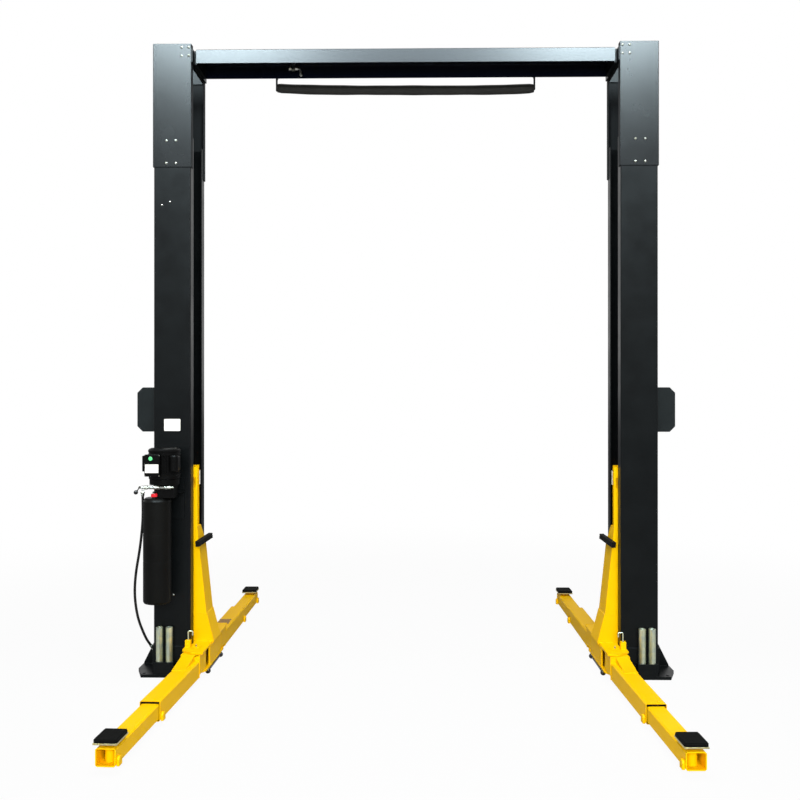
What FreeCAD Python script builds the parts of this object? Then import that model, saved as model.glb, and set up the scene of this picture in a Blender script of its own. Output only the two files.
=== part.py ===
import FreeCAD, Part
import math
import os
import re
import Sketcher

# Two post car lift. X runs across the bay, Y from front to back and Z up from the floor.
# The origin is on the floor in the middle of the bay, on the centre line of the columns.

V = FreeCAD.Vector
sizes = {
    # Columns and what is bolted to them
    "overall_height": 4000,
    "bay_width": 2716,
    "column_width": 234,
    "column_depth": 368,
    "column_wall": 8,
    "column_lip": 75,
    "plate_thickness": 20,
    "plate_inset": 58,
    "plate_reach": 119,
    "plate_depth": 480,
    "plate_corner": 54,
    "plate_corner_run": 130,
    "anchor_diameter": 22,
    "anchor_edge": 42,
    "anchor_setback": 24,
    "anchor_span": 300,
    "collar_height": 164,
    "collar_thickness": 6,
    "gusset_height": 227,
    "gusset_reach": 116,
    "gusset_thickness": 12,
    "cover_height": 286,
    "cover_bottom": 1538,
    "cover_reach": 140,
    "cover_length": 150,
    "cover_chamfer": 35,
    "extension_wall": 5,
    "extension_lip": 46,
    "extension_rise": 580,
    "extension_lap": 201,
    "sleeve_clearance": 0.3,
    "holder_height": 76,
    "holder_width": 62,
    "holder_depth": 50,
    "holder_wall": 4,
    "holder_inset": 15,
    "adapter_diameter": 44,
    "adapter_bore": 30,
    "adapter_length": 288,
    # Overhead beam and safety bar
    "beam_front": 168,
    "beam_back": 106,
    "beam_length": 2654,
    "beam_height": 88,
    "beam_wall": 5,
    "beam_drop": 29,
    "bracket_length": 90,
    "bracket_wall": 8,
    "bracket_drop": 10,
    "neck_half": 142,
    "lip_plate": 8,
    "bar_diameter": 24,
    "bar_pad_diameter": 62,
    "bar_length": 1712,
    "bar_drop": 70,
    "hanger_thickness": 4,
    "hanger_width": 24,
    "hanger_pin": 8,
    "ear_height": 24,
    "ear_gap": 1,
    "hinge_rise": 14,
    "bar_gap": 8,
    # Carriages
    "carriage_depth": 180,
    "carriage_wall": 10,
    "carriage_inner": 1337,
    "carriage_reach": 150,
    "carriage_top": 1312,
    "carriage_bottom": 45,
    "rear_setback": 33,
    "window_low": 1177,
    "window_height": 67,
    "window_setback": 11,
    "window_width": 100,
    "gusset_top": 930,
    "gusset_depth": 40,
    "gusset_clip": 120,
    "gusset_foot": 1233,
    "gusset_knee": 1279,
    "knee_height": 371,
    "gusset_skin": 8,
    "slider_height": 90,
    "slider_length": 60,
    "slider_margin": 40,
    "slider_clearance": 0.5,
    "bumper_length": 370,
    "bumper_height": 34,
    "bumper_width": 26,
    "bumper_level": 812,
    "yoke_top": 190,
    "yoke_plate": 12,
    "yoke_length": 690,
    "yoke_inner": 1240,
    "yoke_outer": 1383,
    "yoke_end_radius": 70,
    "yoke_corner": 60,
    "yoke_column_gap": 12,
    "yoke_face_gap": 5,
    "web_thickness": 10,
    "web_length": 314,
    "pivot_x": 1310,
    "pivot_y": 230,
    "pin_diameter": 50,
    "pin_clearance": 0.3,
    "pin_head": 64,
    "pin_head_height": 5,
    "rod_diameter": 9,
    "rod_knob": 29,
    "rod_length": 356,
    "rod_level": 29,
    "rod_inset": 8,
    "clip_width": 12,
    "clip_spread": 220,
    "tab_width": 34,
    "tab_depth": 30,
    "tab_rise": 45,
    "tab_inset": 6,
    "pull_diameter": 9,
    "pull_rise": 56,
    "pull_reach": 28,
    # Arms
    "arm_width": 112,
    "arm_height": 111,
    "arm_wall": 6.5,
    "arm_clear": 30,
    "arm_length": 839,
    "head_radius": 60,
    "head_length": 118,
    "head_clearance": 2,
    "ramp_end": 325,
    "ramp_width": 80,
    "ramp_shift": 12,
    "tube_corner": 8,
    "lug_width": 12,
    "lug_height": 22,
    "lug_length": 40,
    "lug_inset": 12,
    "inner_width": 98,
    "inner_height": 88,
    "inner_wall": 6,
    "inner_overlap": 194,
    "inner_reach": 1435,
    "slide_clearance": 0.5,
    "socket_setback": 65,
    "socket_diameter": 50,
    "stem_diameter": 38,
    "stem_clearance": 0.3,
    "pad_length": 150,
    "pad_width": 115,
    "pad_plate": 8,
    "pad_rubber": 25,
    "pad_corner": 12,
    "pad_level": 142,
    "front_lean_left": 2.6,
    "front_lean_right": 1.7,
    # Power unit on the left column
    "motor_diameter": 196,
    "motor_x": 1487,
    "motor_y": 310,
    "motor_bottom": 1253,
    "motor_height": 194,
    "motor_corner": 18,
    "capacitor_diameter": 60,
    "capacitor_length": 100,
    "capacitor_x": 1412,
    "capacitor_y": 375,
    "capacitor_bottom": 1306,
    "box_width": 94,
    "box_height": 134,
    "box_depth": 130,
    "box_bottom": 1278,
    "box_x": 1527,
    "side_box_width": 21,
    "side_box_depth": 76,
    "side_box_height": 96,
    "side_box_rise": 29,
    "flange_diameter": 180,
    "flange_height": 32,
    "block_width": 92,
    "block_depth": 110,
    "block_x": 1464,
    "block_bottom": 1140,
    "tank_diameter": 172,
    "tank_x": 1532,
    "tank_bottom": 486,
    "tank_height": 654,
    "tank_corner": 18,
    "bracket_height": 260,
    "unit_bracket_plate": 8,
    "shelf_rise": 20,
    "unit_bracket_width": 184,
    "fitting_diameter": 26,
    "fitting_level": 1207,
    "row_outer": 1611,
    "row_inner": 1413,
    "nut_diameter": 22,
    "cap_diameter": 40,
    "cap_height": 22,
    "cap_x": 1537,
    "cap_offset": 46,
    "neck_diameter": 28,
    "neck_height": 7,
    "lever_hub": 14,
    "lever_stud": 6,
    "lever_hub_width": 8,
    "lever_ear": 4,
    "lever_ear_gap": 1,
    "lever_out": 19,
    "lever_forward": 12,
    "lever_down": 29,
    "lever_diameter": 8,
    "lever_knob": 27,
    "hose_diameter": 16,
    "hose_socket": 22,
    "hose_elbow": 38,
    "port_elbow": 30,
    "port_x": 1622,
    "port_y": 104,
    "port_level": 142,
}
doc = FreeCAD.newDocument("TwoPostLift")
sheet = doc.addObject("Spreadsheet::Sheet", "Size")
for row, (alias, value) in enumerate(sizes.items(), start=1):
    sheet.set(f"A{row}", alias)
    sheet.set(f"B{row}", str(value))
    sheet.setAlias(f"B{row}", alias)
doc.recompute()


def sized(text):
    return re.sub(r"[a-z]\w*", lambda m: f"Size.{m[0]}" if m[0] in sizes else m[0], str(text))


def number(text):
    return float(sheet.evalExpression(sized(text)))


def bind(thing, **formulas):
    for name, text in formulas.items():
        thing.setExpression(name.replace("_of_", "."), sized(text))
    return thing


def place(thing, x=0, y=0, z=0):
    bind(thing, Placement_of_Base_of_x=x, Placement_of_Base_of_y=y, Placement_of_Base_of_z=z)
    return thing


def newBody(label):
    thing = doc.addObject("PartDesign::Body", label)
    thing.Label = label
    return thing


def plane(body, role):
    return next(f for f in body.Origin.OriginFeatures if f.Role == role)


def newSketch(body, role, offset=0):
    sketch = body.newObject("Sketcher::SketchObject", body.Label + "_sketch")
    sketch.AttachmentSupport = [(plane(body, role), "")]
    sketch.MapMode = "FlatFace"
    sketch.setExpression("AttachmentOffset.Base.z", sized(offset))
    return sketch


def pin(sketch, element, point, x, y):
    for kind, text in (("DistanceX", x), ("DistanceY", y)):
        index = sketch.addConstraint(Sketcher.Constraint(kind, -1, 1, element, point, number(text)))
        sketch.setExpression(f"Constraints[{index}]", sized(text))


def drawLoop(sketch, corners):
    points = [V(number(x), number(y), 0) for x, y in corners]
    first = sketch.GeometryCount
    count = len(points)
    for i in range(count):
        sketch.addGeometry(Part.LineSegment(points[i], points[(i + 1) % count]))
    for i in range(count):
        after = first + (i + 1) % count
        sketch.addConstraint(Sketcher.Constraint("Coincident", first + i, 2, after, 1))
        pin(sketch, first + i, 1, *corners[i])
    return sketch


def drawBox(sketch, x0, y0, x1, y1):
    return drawLoop(sketch, [(x0, y0), (x1, y0), (x1, y1), (x0, y1)])


def drawTube(sketch, x0, y0, x1, y1, corner):
    return drawLoop(sketch, [
        (f"{x0} + {corner}", y0), (f"{x1} - {corner}", y0), (x1, f"{y0} + {corner}"), (x1, f"{y1} - {corner}"),
        (f"{x1} - {corner}", y1), (f"{x0} + {corner}", y1), (x0, f"{y1} - {corner}"), (x0, f"{y0} + {corner}"),
    ])


def drawCircle(sketch, x, y, diameter):
    circle = Part.Circle(V(number(x), number(y), 0), V(0, 0, 1), number(diameter) / 2)
    element = sketch.addGeometry(circle)
    pin(sketch, element, 3, x, y)
    index = sketch.addConstraint(Sketcher.Constraint("Diameter", element, number(diameter)))
    sketch.setExpression(f"Constraints[{index}]", sized(diameter))
    return sketch


def pad(body, sketch, length, centred=False, back=False):
    feature = body.newObject("PartDesign::Pad", body.Label + "_pad")
    feature.Profile = sketch
    feature.SideType = "Symmetric" if centred else "One side"
    feature.Reversed = back
    return bind(feature, Length=length)


def pocket(body, sketch, length, centred=False, back=False):
    feature = body.newObject("PartDesign::Pocket", body.Label + "_pocket")
    feature.Profile = sketch
    feature.SideType = "Symmetric" if centred else "One side"
    feature.Reversed = back
    return bind(feature, Length=length)


def edgesWhere(feature, test):
    doc.recompute()
    edges = enumerate(feature.Shape.Edges, start=1)
    return [f"Edge{i}" for i, edge in edges if test(edge, edge.CenterOfMass)]


def along(edge, axis):
    if edge.Curve.TypeId != "Part::GeomLine":
        return False
    return abs(edge.Curve.Direction.dot(axis)) > 0.999


def dress(body, kind, feature, edges, amount):
    done = body.newObject("PartDesign::" + kind, body.Label + "_" + kind.lower())
    done.Base = (feature, edges)
    bind(done, **{"Radius" if kind == "Fillet" else "Size": amount})
    return done


def fillet(body, feature, edges, amount):
    return dress(body, "Fillet", feature, edges, amount)


def chamfer(body, feature, edges, amount):
    return dress(body, "Chamfer", feature, edges, amount)


def block(name, x, y, z, length, width, height):
    thing = doc.addObject("Part::Box", name)
    bind(thing, Length=length, Width=width, Height=height)
    return place(thing, x, y, z)


def cylinder(name, x, y, z, diameter, height, axis=V(0, 0, 1)):
    thing = doc.addObject("Part::Cylinder", name)
    bind(thing, Radius=f"({diameter}) / 2", Height=height)
    thing.Placement = FreeCAD.Placement(V(), FreeCAD.Rotation(V(0, 0, 1), axis))
    return place(thing, x, y, z)


def join(label, *things):
    thing = doc.addObject("Part::MultiFuse", label)
    thing.Shapes = list(things)
    thing.Label = label
    return thing


def cut(label, base, tool):
    thing = doc.addObject("Part::Cut", label)
    thing.Base = base
    thing.Tool = tool
    thing.Label = label
    return thing


def group(label, *things):
    thing = doc.addObject("Part::Compound", label)
    thing.Links = list(things)
    thing.Label = label
    return thing


def mirror(label, source, normal=V(1, 0, 0)):
    thing = doc.addObject("Part::Mirroring", label)
    thing.Source = source
    thing.Normal = normal
    thing.Label = label
    return thing


def rod(name, x, y, z, diameter, height, axis=V(0, 0, 1), sides=12):
    thing = doc.addObject("Part::Prism", name)
    thing.Polygon = sides
    bind(thing, Circumradius=f"({diameter}) / 2", Height=height)
    thing.Placement = FreeCAD.Placement(V(), FreeCAD.Rotation(V(0, 0, 1), axis))
    return place(thing, x, y, z)


def knob(name, x, y, z, diameter):
    rings = []
    for i, (level, share) in enumerate(((-0.46, 0.4), (-0.28, 0.83), (0, 1), (0.28, 0.83), (0.46, 0.4))):
        ring = doc.addObject("Part::RegularPolygon", f"{name}_ring_{i}")
        ring.Polygon = 12
        bind(ring, Circumradius=f"{share} * ({diameter}) / 2")
        rings.append(place(ring, x, y, f"{z} + {level} * ({diameter})"))
    thing = doc.addObject("Part::Loft", name)
    thing.Sections = rings
    thing.Solid = True
    thing.Ruled = True
    return thing


def turned(name, x, y, bottom, diameter, height, corner, lower=True):
    body = newBody(name)
    half = newSketch(body, "XZ_Plane")
    radius = f"({diameter}) / 2"
    low = [("0", "0"), (f"{radius} - {corner}", "0"), (radius, corner)] if lower else [("0", "0"), (radius, "0")]
    high = [(radius, f"{height} - {corner}"), (f"{radius} - {corner}", height), ("0", height)]
    drawLoop(half, low + high)
    spin = body.newObject("PartDesign::Revolution", name + "_turned")
    spin.Profile = half
    spin.ReferenceAxis = (half, ["V_Axis"])
    spin.Angle = 360
    return place(body, x, y, bottom)


nodes = []


def keep(*things):
    nodes.extend(things)


def keepPair(label, source):
    keep(group(label, source, mirror(source.Label + "_mirrored", source)))


columnIn = "bay_width / 2"
columnOut = "bay_width / 2 + column_width"
columnTop = "overall_height - extension_rise"
halfDepth = "column_depth / 2"

# Column: a folded channel, open towards the bay between two lips
body = newBody("column")
slot = f"{halfDepth} - column_lip"
drawLoop(newSketch(body, "XY_Plane", "plate_thickness"), [
    (f"-({columnIn})", f"-({halfDepth})"),
    (f"-({columnOut})", f"-({halfDepth})"),
    (f"-({columnOut})", halfDepth),
    (f"-({columnIn})", halfDepth),
    (f"-({columnIn})", slot),
    (f"-({columnIn} + column_wall)", slot),
    (f"-({columnIn} + column_wall)", f"{halfDepth} - column_wall"),
    (f"-({columnOut} - column_wall)", f"{halfDepth} - column_wall"),
    (f"-({columnOut} - column_wall)", f"-({halfDepth} - column_wall)"),
    (f"-({columnIn} + column_wall)", f"-({halfDepth} - column_wall)"),
    (f"-({columnIn} + column_wall)", f"-({slot})"),
    (f"-({columnIn})", f"-({slot})"),
])
post = pad(body, body.Group[-1], f"{columnTop} - plate_thickness")
outer = edgesWhere(post, lambda e, c: along(e, V(0, 0, 1)) and abs(abs(c.y) - number(halfDepth)) < 0.1)
fillet(body, post, outer, "column_wall")
keepPair("columns", body)

# Base plate with clipped outer corners and four anchor holes
body = newBody("base_plate")
inner = f"{columnIn} - plate_inset"
outerEdge = f"{columnOut} + plate_reach"
drawLoop(newSketch(body, "XY_Plane"), [
    (f"-({inner})", "-plate_depth / 2"),
    (f"-({outerEdge} - plate_corner)", "-plate_depth / 2"),
    (f"-({outerEdge})", "-(plate_depth / 2 - plate_corner_run)"),
    (f"-({outerEdge})", "plate_depth / 2 - plate_corner_run"),
    (f"-({outerEdge} - plate_corner)", "plate_depth / 2"),
    (f"-({inner})", "plate_depth / 2"),
])
slab = pad(body, body.Group[-1], "plate_thickness")
holes = newSketch(body, "XY_Plane", "plate_thickness")
for x in (f"-({inner} + anchor_edge)", f"-({inner} + anchor_edge + anchor_span)"):
    for y in ("-(plate_depth / 2 - anchor_setback)", "plate_depth / 2 - anchor_setback"):
        drawCircle(holes, x, y, "anchor_diameter")
pocket(body, holes, "plate_thickness")
keepPair("base_plates", body)

# Foot of the column: doubler collar, outer gusset and the two adapter sockets
collar = block("collar_outer", f"-({columnOut} + collar_thickness)", f"-({halfDepth} + collar_thickness)",
               "plate_thickness", "column_width + collar_thickness", "column_depth + 2 * collar_thickness",
               "collar_height")
collarHole = block("collar_hole", f"-({columnOut})", f"-({halfDepth})", "plate_thickness",
                   "column_width", "column_depth", "collar_height")
body = newBody("foot_gusset")
drawLoop(newSketch(body, "XZ_Plane"), [
    (f"-({columnOut} + collar_thickness)", "plate_thickness"),
    (f"-({columnOut} + gusset_reach)", "plate_thickness"),
    (f"-({columnOut} + gusset_reach)", "plate_thickness + 8"),
    (f"-({columnOut} + collar_thickness)", "plate_thickness + gusset_height"),
])
pad(body, body.Group[-1], "gusset_thickness", centred=True)
footGusset = body
body = newBody("adapter_holder")
holderFront = f"-({halfDepth} + collar_thickness + holder_depth)"
holderOuter = f"{columnOut} - holder_inset"
drawBox(newSketch(body, "XY_Plane", "plate_thickness"), f"-({holderOuter})", holderFront,
        f"-({holderOuter} - 2 * holder_width)", f"-({halfDepth} + collar_thickness)")
shell = pad(body, body.Group[-1], "holder_height")
wells = newSketch(body, "XY_Plane", "plate_thickness + holder_height")
wellBack = f"-({halfDepth} + collar_thickness)"
for start in ("0", "holder_width"):
    drawBox(wells, f"-({holderOuter} - ({start}) - holder_wall)", f"{holderFront} + holder_wall",
            f"-({holderOuter} - ({start}) - holder_width + holder_wall)", wellBack)
pocket(body, wells, "holder_height - holder_wall")
holder = body
keepPair("foot_brackets", join("foot", cut("collar", collar, collarHole), footGusset, holder))

# Height adapters: zinc tubes standing in the sockets
tubes = []
for i, start in enumerate(("0", "holder_width")):
    x = f"-({holderOuter} - ({start}) - holder_width / 2)"
    y = f"-({halfDepth} + collar_thickness + (holder_depth - holder_wall) / 2)"
    z = "plate_thickness + holder_wall"
    rise = "adapter_length"
    tube = cylinder(f"adapter_{i}", x, y, z, "adapter_diameter", rise)
    bore = cylinder(f"adapter_bore_{i}", x, y, f"{z} + adapter_length / 2", "adapter_bore", rise)
    tubes.append(cut(f"adapter_tube_{i}", tube, bore))
keepPair("height_adapters", group("adapter_set", *tubes))

# Lock cover on the outer face of each column
body = newBody("lock_cover")
drawLoop(newSketch(body, "XZ_Plane"), [
    (f"-({columnOut})", "cover_bottom"),
    (f"-({columnOut} + cover_reach - cover_chamfer)", "cover_bottom"),
    (f"-({columnOut} + cover_reach)", "cover_bottom + cover_chamfer"),
    (f"-({columnOut} + cover_reach)", "cover_bottom + cover_height - cover_chamfer"),
    (f"-({columnOut} + cover_reach - cover_chamfer)", "cover_bottom + cover_height"),
    (f"-({columnOut})", "cover_bottom + cover_height"),
])
pad(body, body.Group[-1], "cover_length", centred=True)
keepPair("lock_covers", body)

# Extension: a sleeve round the top of each column
body = newBody("extension")
sleeveIn = f"{columnIn} - sleeve_clearance - extension_wall"
sleeveOut = f"{columnOut} + sleeve_clearance + extension_wall"
sleeveHalf = f"{halfDepth} + sleeve_clearance + extension_wall"
sleeveLip = f"{sleeveHalf} - extension_lip"
drawLoop(newSketch(body, "XY_Plane", f"{columnTop} - extension_lap"), [
    (f"-({sleeveIn})", f"-({sleeveHalf})"),
    (f"-({sleeveOut})", f"-({sleeveHalf})"),
    (f"-({sleeveOut})", sleeveHalf),
    (f"-({sleeveIn})", sleeveHalf),
    (f"-({sleeveIn})", sleeveLip),
    (f"-({sleeveIn} + extension_wall)", sleeveLip),
    (f"-({sleeveIn} + extension_wall)", f"{sleeveHalf} - extension_wall"),
    (f"-({sleeveOut} - extension_wall)", f"{sleeveHalf} - extension_wall"),
    (f"-({sleeveOut} - extension_wall)", f"-({sleeveHalf} - extension_wall)"),
    (f"-({sleeveIn} + extension_wall)", f"-({sleeveHalf} - extension_wall)"),
    (f"-({sleeveIn} + extension_wall)", f"-({sleeveLip})"),
    (f"-({sleeveIn})", f"-({sleeveLip})"),
])
sleeve = pad(body, body.Group[-1], "extension_rise + extension_lap")
corners = edgesWhere(sleeve, lambda e, c: along(e, V(0, 0, 1)) and abs(abs(c.y) - number(sleeveHalf)) < 0.1)
fillet(body, sleeve, corners, "extension_wall - 1")
keepPair("height_extensions", body)

# Overhead beam: a channel with its open side down, and its two end brackets
beamTop = "overall_height - beam_drop"
bracketFace = f"{sleeveIn} + extension_wall + 2"
body = newBody("overhead_beam")
beamBottom = f"{beamTop} - beam_height"
drawLoop(newSketch(body, "YZ_Plane"), [
    ("-beam_front", beamBottom),
    ("-beam_front", beamTop),
    ("beam_back", beamTop),
    ("beam_back", beamBottom),
    ("beam_back - beam_wall", beamBottom),
    ("beam_back - beam_wall", f"{beamTop} - beam_wall"),
    ("-(beam_front - beam_wall)", f"{beamTop} - beam_wall"),
    ("-(beam_front - beam_wall)", beamBottom),
])
channel = pad(body, body.Group[-1], "beam_length", centred=True)
folds = edgesWhere(channel, lambda e, c: along(e, V(1, 0, 0)) and abs(c.z - number(beamTop)) < 0.1)
fillet(body, channel, folds, "beam_wall")
keep(body)

body = newBody("beam_bracket")
drawLoop(newSketch(body, "XY_Plane", f"{beamBottom} - bracket_drop"), [
    (f"-({bracketFace})", f"-({sleeveHalf} - extension_wall)"),
    (f"-({bracketFace} + bracket_length)", f"-({sleeveHalf} - extension_wall)"),
    (f"-({bracketFace} + bracket_length)", f"-({sleeveHalf} - extension_wall - bracket_wall)"),
    (f"-({bracketFace} + bracket_wall)", f"-({sleeveHalf} - extension_wall - bracket_wall)"),
    (f"-({bracketFace} + bracket_wall)", f"{sleeveHalf} - extension_wall - bracket_wall"),
    (f"-({bracketFace} + bracket_length)", f"{sleeveHalf} - extension_wall - bracket_wall"),
    (f"-({bracketFace} + bracket_length)", f"{sleeveHalf} - extension_wall"),
    (f"-({bracketFace})", f"{sleeveHalf} - extension_wall"),
])
pad(body, body.Group[-1], "beam_height + beam_drop")
neck = block("beam_neck", f"-({bracketFace})", "-neck_half", beamBottom, f"{bracketFace} - beam_length / 2",
             "neck_half + beam_back", "beam_height")
lipPlate = block("lip_plate", f"-({sleeveIn})", f"-({sleeveHalf})", beamBottom, "lip_plate",
                 f"2 * ({sleeveHalf})", "beam_height")
keepPair("beam_brackets", join("bracket", body, neck, lipPlate))

# Padded safety bar, hung from two flat arms under the back of the beam
barY = "beam_back + hanger_width / 2 + bar_gap"
hingeZ = f"{beamBottom} + hinge_rise"
barZ = f"{hingeZ} - bar_drop"
hangerX = "bar_length / 2 + hanger_thickness / 2"
tube = cylinder("bar_tube", "-bar_length / 2", barY, barZ, "bar_diameter", "bar_length", V(1, 0, 0))
straps = []
for i, side in enumerate(("-1", "1")):
    x = f"{side} * ({hangerX}) - hanger_thickness / 2"
    straps.append(block(f"strap_{i}", x, f"{barY} - hanger_width / 2", barZ, "hanger_thickness",
                        "hanger_width", "bar_drop"))
    for z in (barZ, hingeZ):
        straps.append(cylinder(f"strap_end_{i}", x, barY, z, "hanger_width", "hanger_thickness", V(1, 0, 0)))
strapHoles = []
for i, side in enumerate(("-1", "1")):
    strapHoles.append(cylinder(f"strap_hole_{i}", f"{side} * ({hangerX}) - hanger_thickness", barY, hingeZ,
                               "hanger_pin + 2 * pin_clearance", "2 * hanger_thickness", V(1, 0, 0)))
keep(cut("safety_bar", join("bar_frame", tube, *straps), group("strap_holes", *strapHoles)))
sleevePad = cylinder("pad_solid", "-bar_length / 2", barY, barZ, "bar_pad_diameter", "bar_length", V(1, 0, 0))
padBore = cylinder("pad_bore", "-bar_length / 2", barY, barZ, "bar_diameter", "bar_length", V(1, 0, 0))
keep(cut("safety_bar_padding", sleevePad, padBore))
pivots = []
for i, side in enumerate(("-1", "1")):
    x = f"{side} * ({hangerX})"
    ear = block(f"ear_{i}", f"{x} - hanger_thickness / 2 - {side} * (hanger_thickness + ear_gap)", "beam_back",
                f"{hingeZ} - ear_height / 2", "hanger_thickness", f"{barY} + hanger_pin - beam_back",
                "ear_height")
    stud = cylinder(f"ear_stud_{i}", f"{x} - 2.2 * hanger_thickness", barY, hingeZ, "hanger_pin",
                    "4.4 * hanger_thickness", V(1, 0, 0))
    pivots.append(join(f"bar_pivot_{i}", ear, stud))
keep(group("bar_pivots", *pivots))

# Carriage: a channel open towards the bay, with a longer front flange, a tapered gusset and the arm yoke
body = newBody("carriage_post")
postHalf = "carriage_depth / 2"
drawLoop(newSketch(body, "XY_Plane", "carriage_bottom"), [
    ("-carriage_inner", f"-({postHalf})"),
    ("-(carriage_inner + carriage_reach)", f"-({postHalf})"),
    ("-(carriage_inner + carriage_reach)", postHalf),
    ("-(carriage_inner + rear_setback)", postHalf),
    ("-(carriage_inner + rear_setback)", f"{postHalf} - carriage_wall"),
    ("-(carriage_inner + carriage_reach - carriage_wall)", f"{postHalf} - carriage_wall"),
    ("-(carriage_inner + carriage_reach - carriage_wall)", f"-({postHalf} - carriage_wall)"),
    ("-carriage_inner", f"-({postHalf} - carriage_wall)"),
])
pad(body, body.Group[-1], "carriage_top - carriage_bottom")
window = newSketch(body, "XZ_Plane", postHalf)
drawBox(window, "-(carriage_inner + window_setback + window_width)", "window_low",
        "-(carriage_inner + window_setback)", "window_low + window_height")
pocket(body, window, "carriage_wall")
carriagePost = body
body = newBody("carriage_gusset")
drawLoop(newSketch(body, "XZ_Plane"), [
    ("-(carriage_inner + gusset_depth)", "yoke_top - yoke_plate"),
    ("-gusset_foot", "yoke_top - yoke_plate"),
    ("-gusset_foot", "yoke_top"),
    ("-gusset_knee", "knee_height"),
    ("-(carriage_inner + 1)", "gusset_top"),
    ("-(carriage_inner + gusset_depth)", "gusset_top"),
])
pad(body, body.Group[-1], "carriage_depth", centred=True)
hollow = newSketch(body, "XZ_Plane")
drawLoop(hollow, [
    ("-(carriage_inner + gusset_depth + 1)", "yoke_top + gusset_skin"),
    ("-(gusset_foot + gusset_skin + 4)", "yoke_top + gusset_skin"),
    ("-(gusset_knee + gusset_skin + 1)", "knee_height"),
    ("-(carriage_inner + gusset_skin + 2)", "gusset_top + 1"),
    ("-(carriage_inner + gusset_depth + 1)", "gusset_top + 1"),
])
pocket(body, hollow, "carriage_depth - 2 * gusset_skin", centred=True)
clip = newSketch(body, "YZ_Plane")
drawLoop(clip, [
    ("0", "gusset_top + 1"),
    (f"{postHalf} + 1", "gusset_top - gusset_clip"),
    (f"{postHalf} + 1", "gusset_top + 1"),
])
pocket(body, clip, "2 * (carriage_inner + 2 * gusset_depth)", centred=True)
carriageGusset = body


def yokePlate(name, bottom):
    body = newBody(name)
    clear = f"{halfDepth} + yoke_column_gap"
    inside = f"{columnIn} - yoke_face_gap"
    drawLoop(newSketch(body, "XY_Plane", bottom), [
        ("-yoke_inner", "-yoke_length / 2"),
        ("-(yoke_outer - 1.2 * yoke_corner)", "-yoke_length / 2"),
        ("-yoke_outer", "-(yoke_length / 2 - yoke_corner)"),
        ("-yoke_outer", f"-({clear})"),
        (f"-({inside})", f"-({clear})"),
        (f"-({inside})", clear),
        ("-yoke_outer", clear),
        ("-yoke_outer", "yoke_length / 2 - yoke_corner"),
        ("-(yoke_outer - 1.2 * yoke_corner)", "yoke_length / 2"),
        ("-yoke_inner", "yoke_length / 2"),
    ])
    slab = pad(body, body.Group[-1], "yoke_plate")
    holes = newSketch(body, "XY_Plane", f"{bottom} + yoke_plate")
    for y in ("-pivot_y", "pivot_y"):
        drawCircle(holes, "-pivot_x", y, "pin_diameter + 2 * pin_clearance")
    pocket(body, holes, "yoke_plate")
    return body


topPlate = yokePlate("yoke_top_plate", "yoke_top - yoke_plate")
strip = block("low_strip", f"-({columnIn} - yoke_face_gap)", "-pivot_y", "carriage_bottom",
              f"{columnIn} - yoke_face_gap - yoke_inner",
              "2 * pivot_y", "yoke_plate")
ends = []
for i, side in enumerate(("-1", "1")):
    ends.append(cylinder(f"low_end_{i}", "-pivot_x", f"{side} * pivot_y", "carriage_bottom",
                         "2 * yoke_end_radius", "yoke_plate"))
notches = [block("low_notch", f"-({columnIn} + 2 * yoke_end_radius)", f"-({halfDepth} + yoke_column_gap)",
                 "carriage_bottom - 1", "2 * yoke_end_radius + yoke_face_gap",
                 f"2 * ({halfDepth} + yoke_column_gap)", "yoke_plate + 2")]
for i, side in enumerate(("-1", "1")):
    notches.append(cylinder(f"low_hole_{i}", "-pivot_x", f"{side} * pivot_y", "carriage_bottom - 1",
                            "pin_diameter + 2 * pin_clearance", "yoke_plate + 2"))
lowPlate = cut("yoke_low_plate", join("low_plate_solid", strip, *ends), group("low_cuts", *notches))
web = block("yoke_web", "-(yoke_inner + web_thickness)", "-web_length / 2", "carriage_bottom",
            "web_thickness", "web_length",
            "yoke_top - carriage_bottom")
tabs = []
for i, side in enumerate(("-1", "1")):
    tabs.append(block(f"tab_{i}", "-(yoke_outer - tab_inset)", f"{side} * pivot_y - tab_depth / 2",
                      "yoke_top", "tab_width", "tab_depth", "tab_rise"))
bores = []
for i, side in enumerate(("-1", "1")):
    bores.append(cylinder(f"tab_bore_{i}", "-(yoke_outer - tab_inset - tab_width / 2)", f"{side} * pivot_y",
                          "carriage_bottom - 1", "pull_diameter + 2 * pin_clearance", "400"))
frame = join("carriage_frame", carriagePost, carriageGusset, topPlate, lowPlate, web, *tabs)
leftCarriage = cut("left_carriage", frame, group("tab_bores", *bores))
keep(leftCarriage, mirror("right_carriage", leftCarriage))

# Slider blocks between the carriage and the inside of the column
blocks = []
lipIn = f"{columnIn} + column_wall + slider_clearance"
for i, side in enumerate(("-1", "1")):
    for level in ("carriage_bottom + slider_margin", "carriage_top - slider_height - slider_margin"):
        start = f"min({side} * ({postHalf}); {side} * ({halfDepth} - column_wall - slider_clearance))"
        blocks.append(block(f"slider_{len(blocks)}", f"-({lipIn} + slider_length)", start, level, "slider_length",
                            f"{halfDepth} - column_wall - slider_clearance - ({postHalf})", "slider_height"))
leftBlocks = group("left_slider_blocks", *blocks)
keep(leftBlocks, mirror("right_slider_blocks", leftBlocks))

# Door bumper: a rubber bar across the sloped face of the gusset
body = newBody("left_door_bumper")
slope = "(carriage_inner + 1 - gusset_knee) / (gusset_top - knee_height)"
lowX = f"gusset_knee + (bumper_level - knee_height) * {slope}"
highX = f"gusset_knee + (bumper_level + bumper_height - knee_height) * {slope}"
drawLoop(newSketch(body, "XZ_Plane"), [
    (f"-({lowX})", "bumper_level"),
    (f"-({lowX} - bumper_width)", "bumper_level"),
    (f"-({highX} - bumper_width)", "bumper_level + bumper_height"),
    (f"-({highX})", "bumper_level + bumper_height"),
])
pad(body, body.Group[-1], "bumper_length", centred=True)
keep(body, mirror("right_door_bumper", body))

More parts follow.
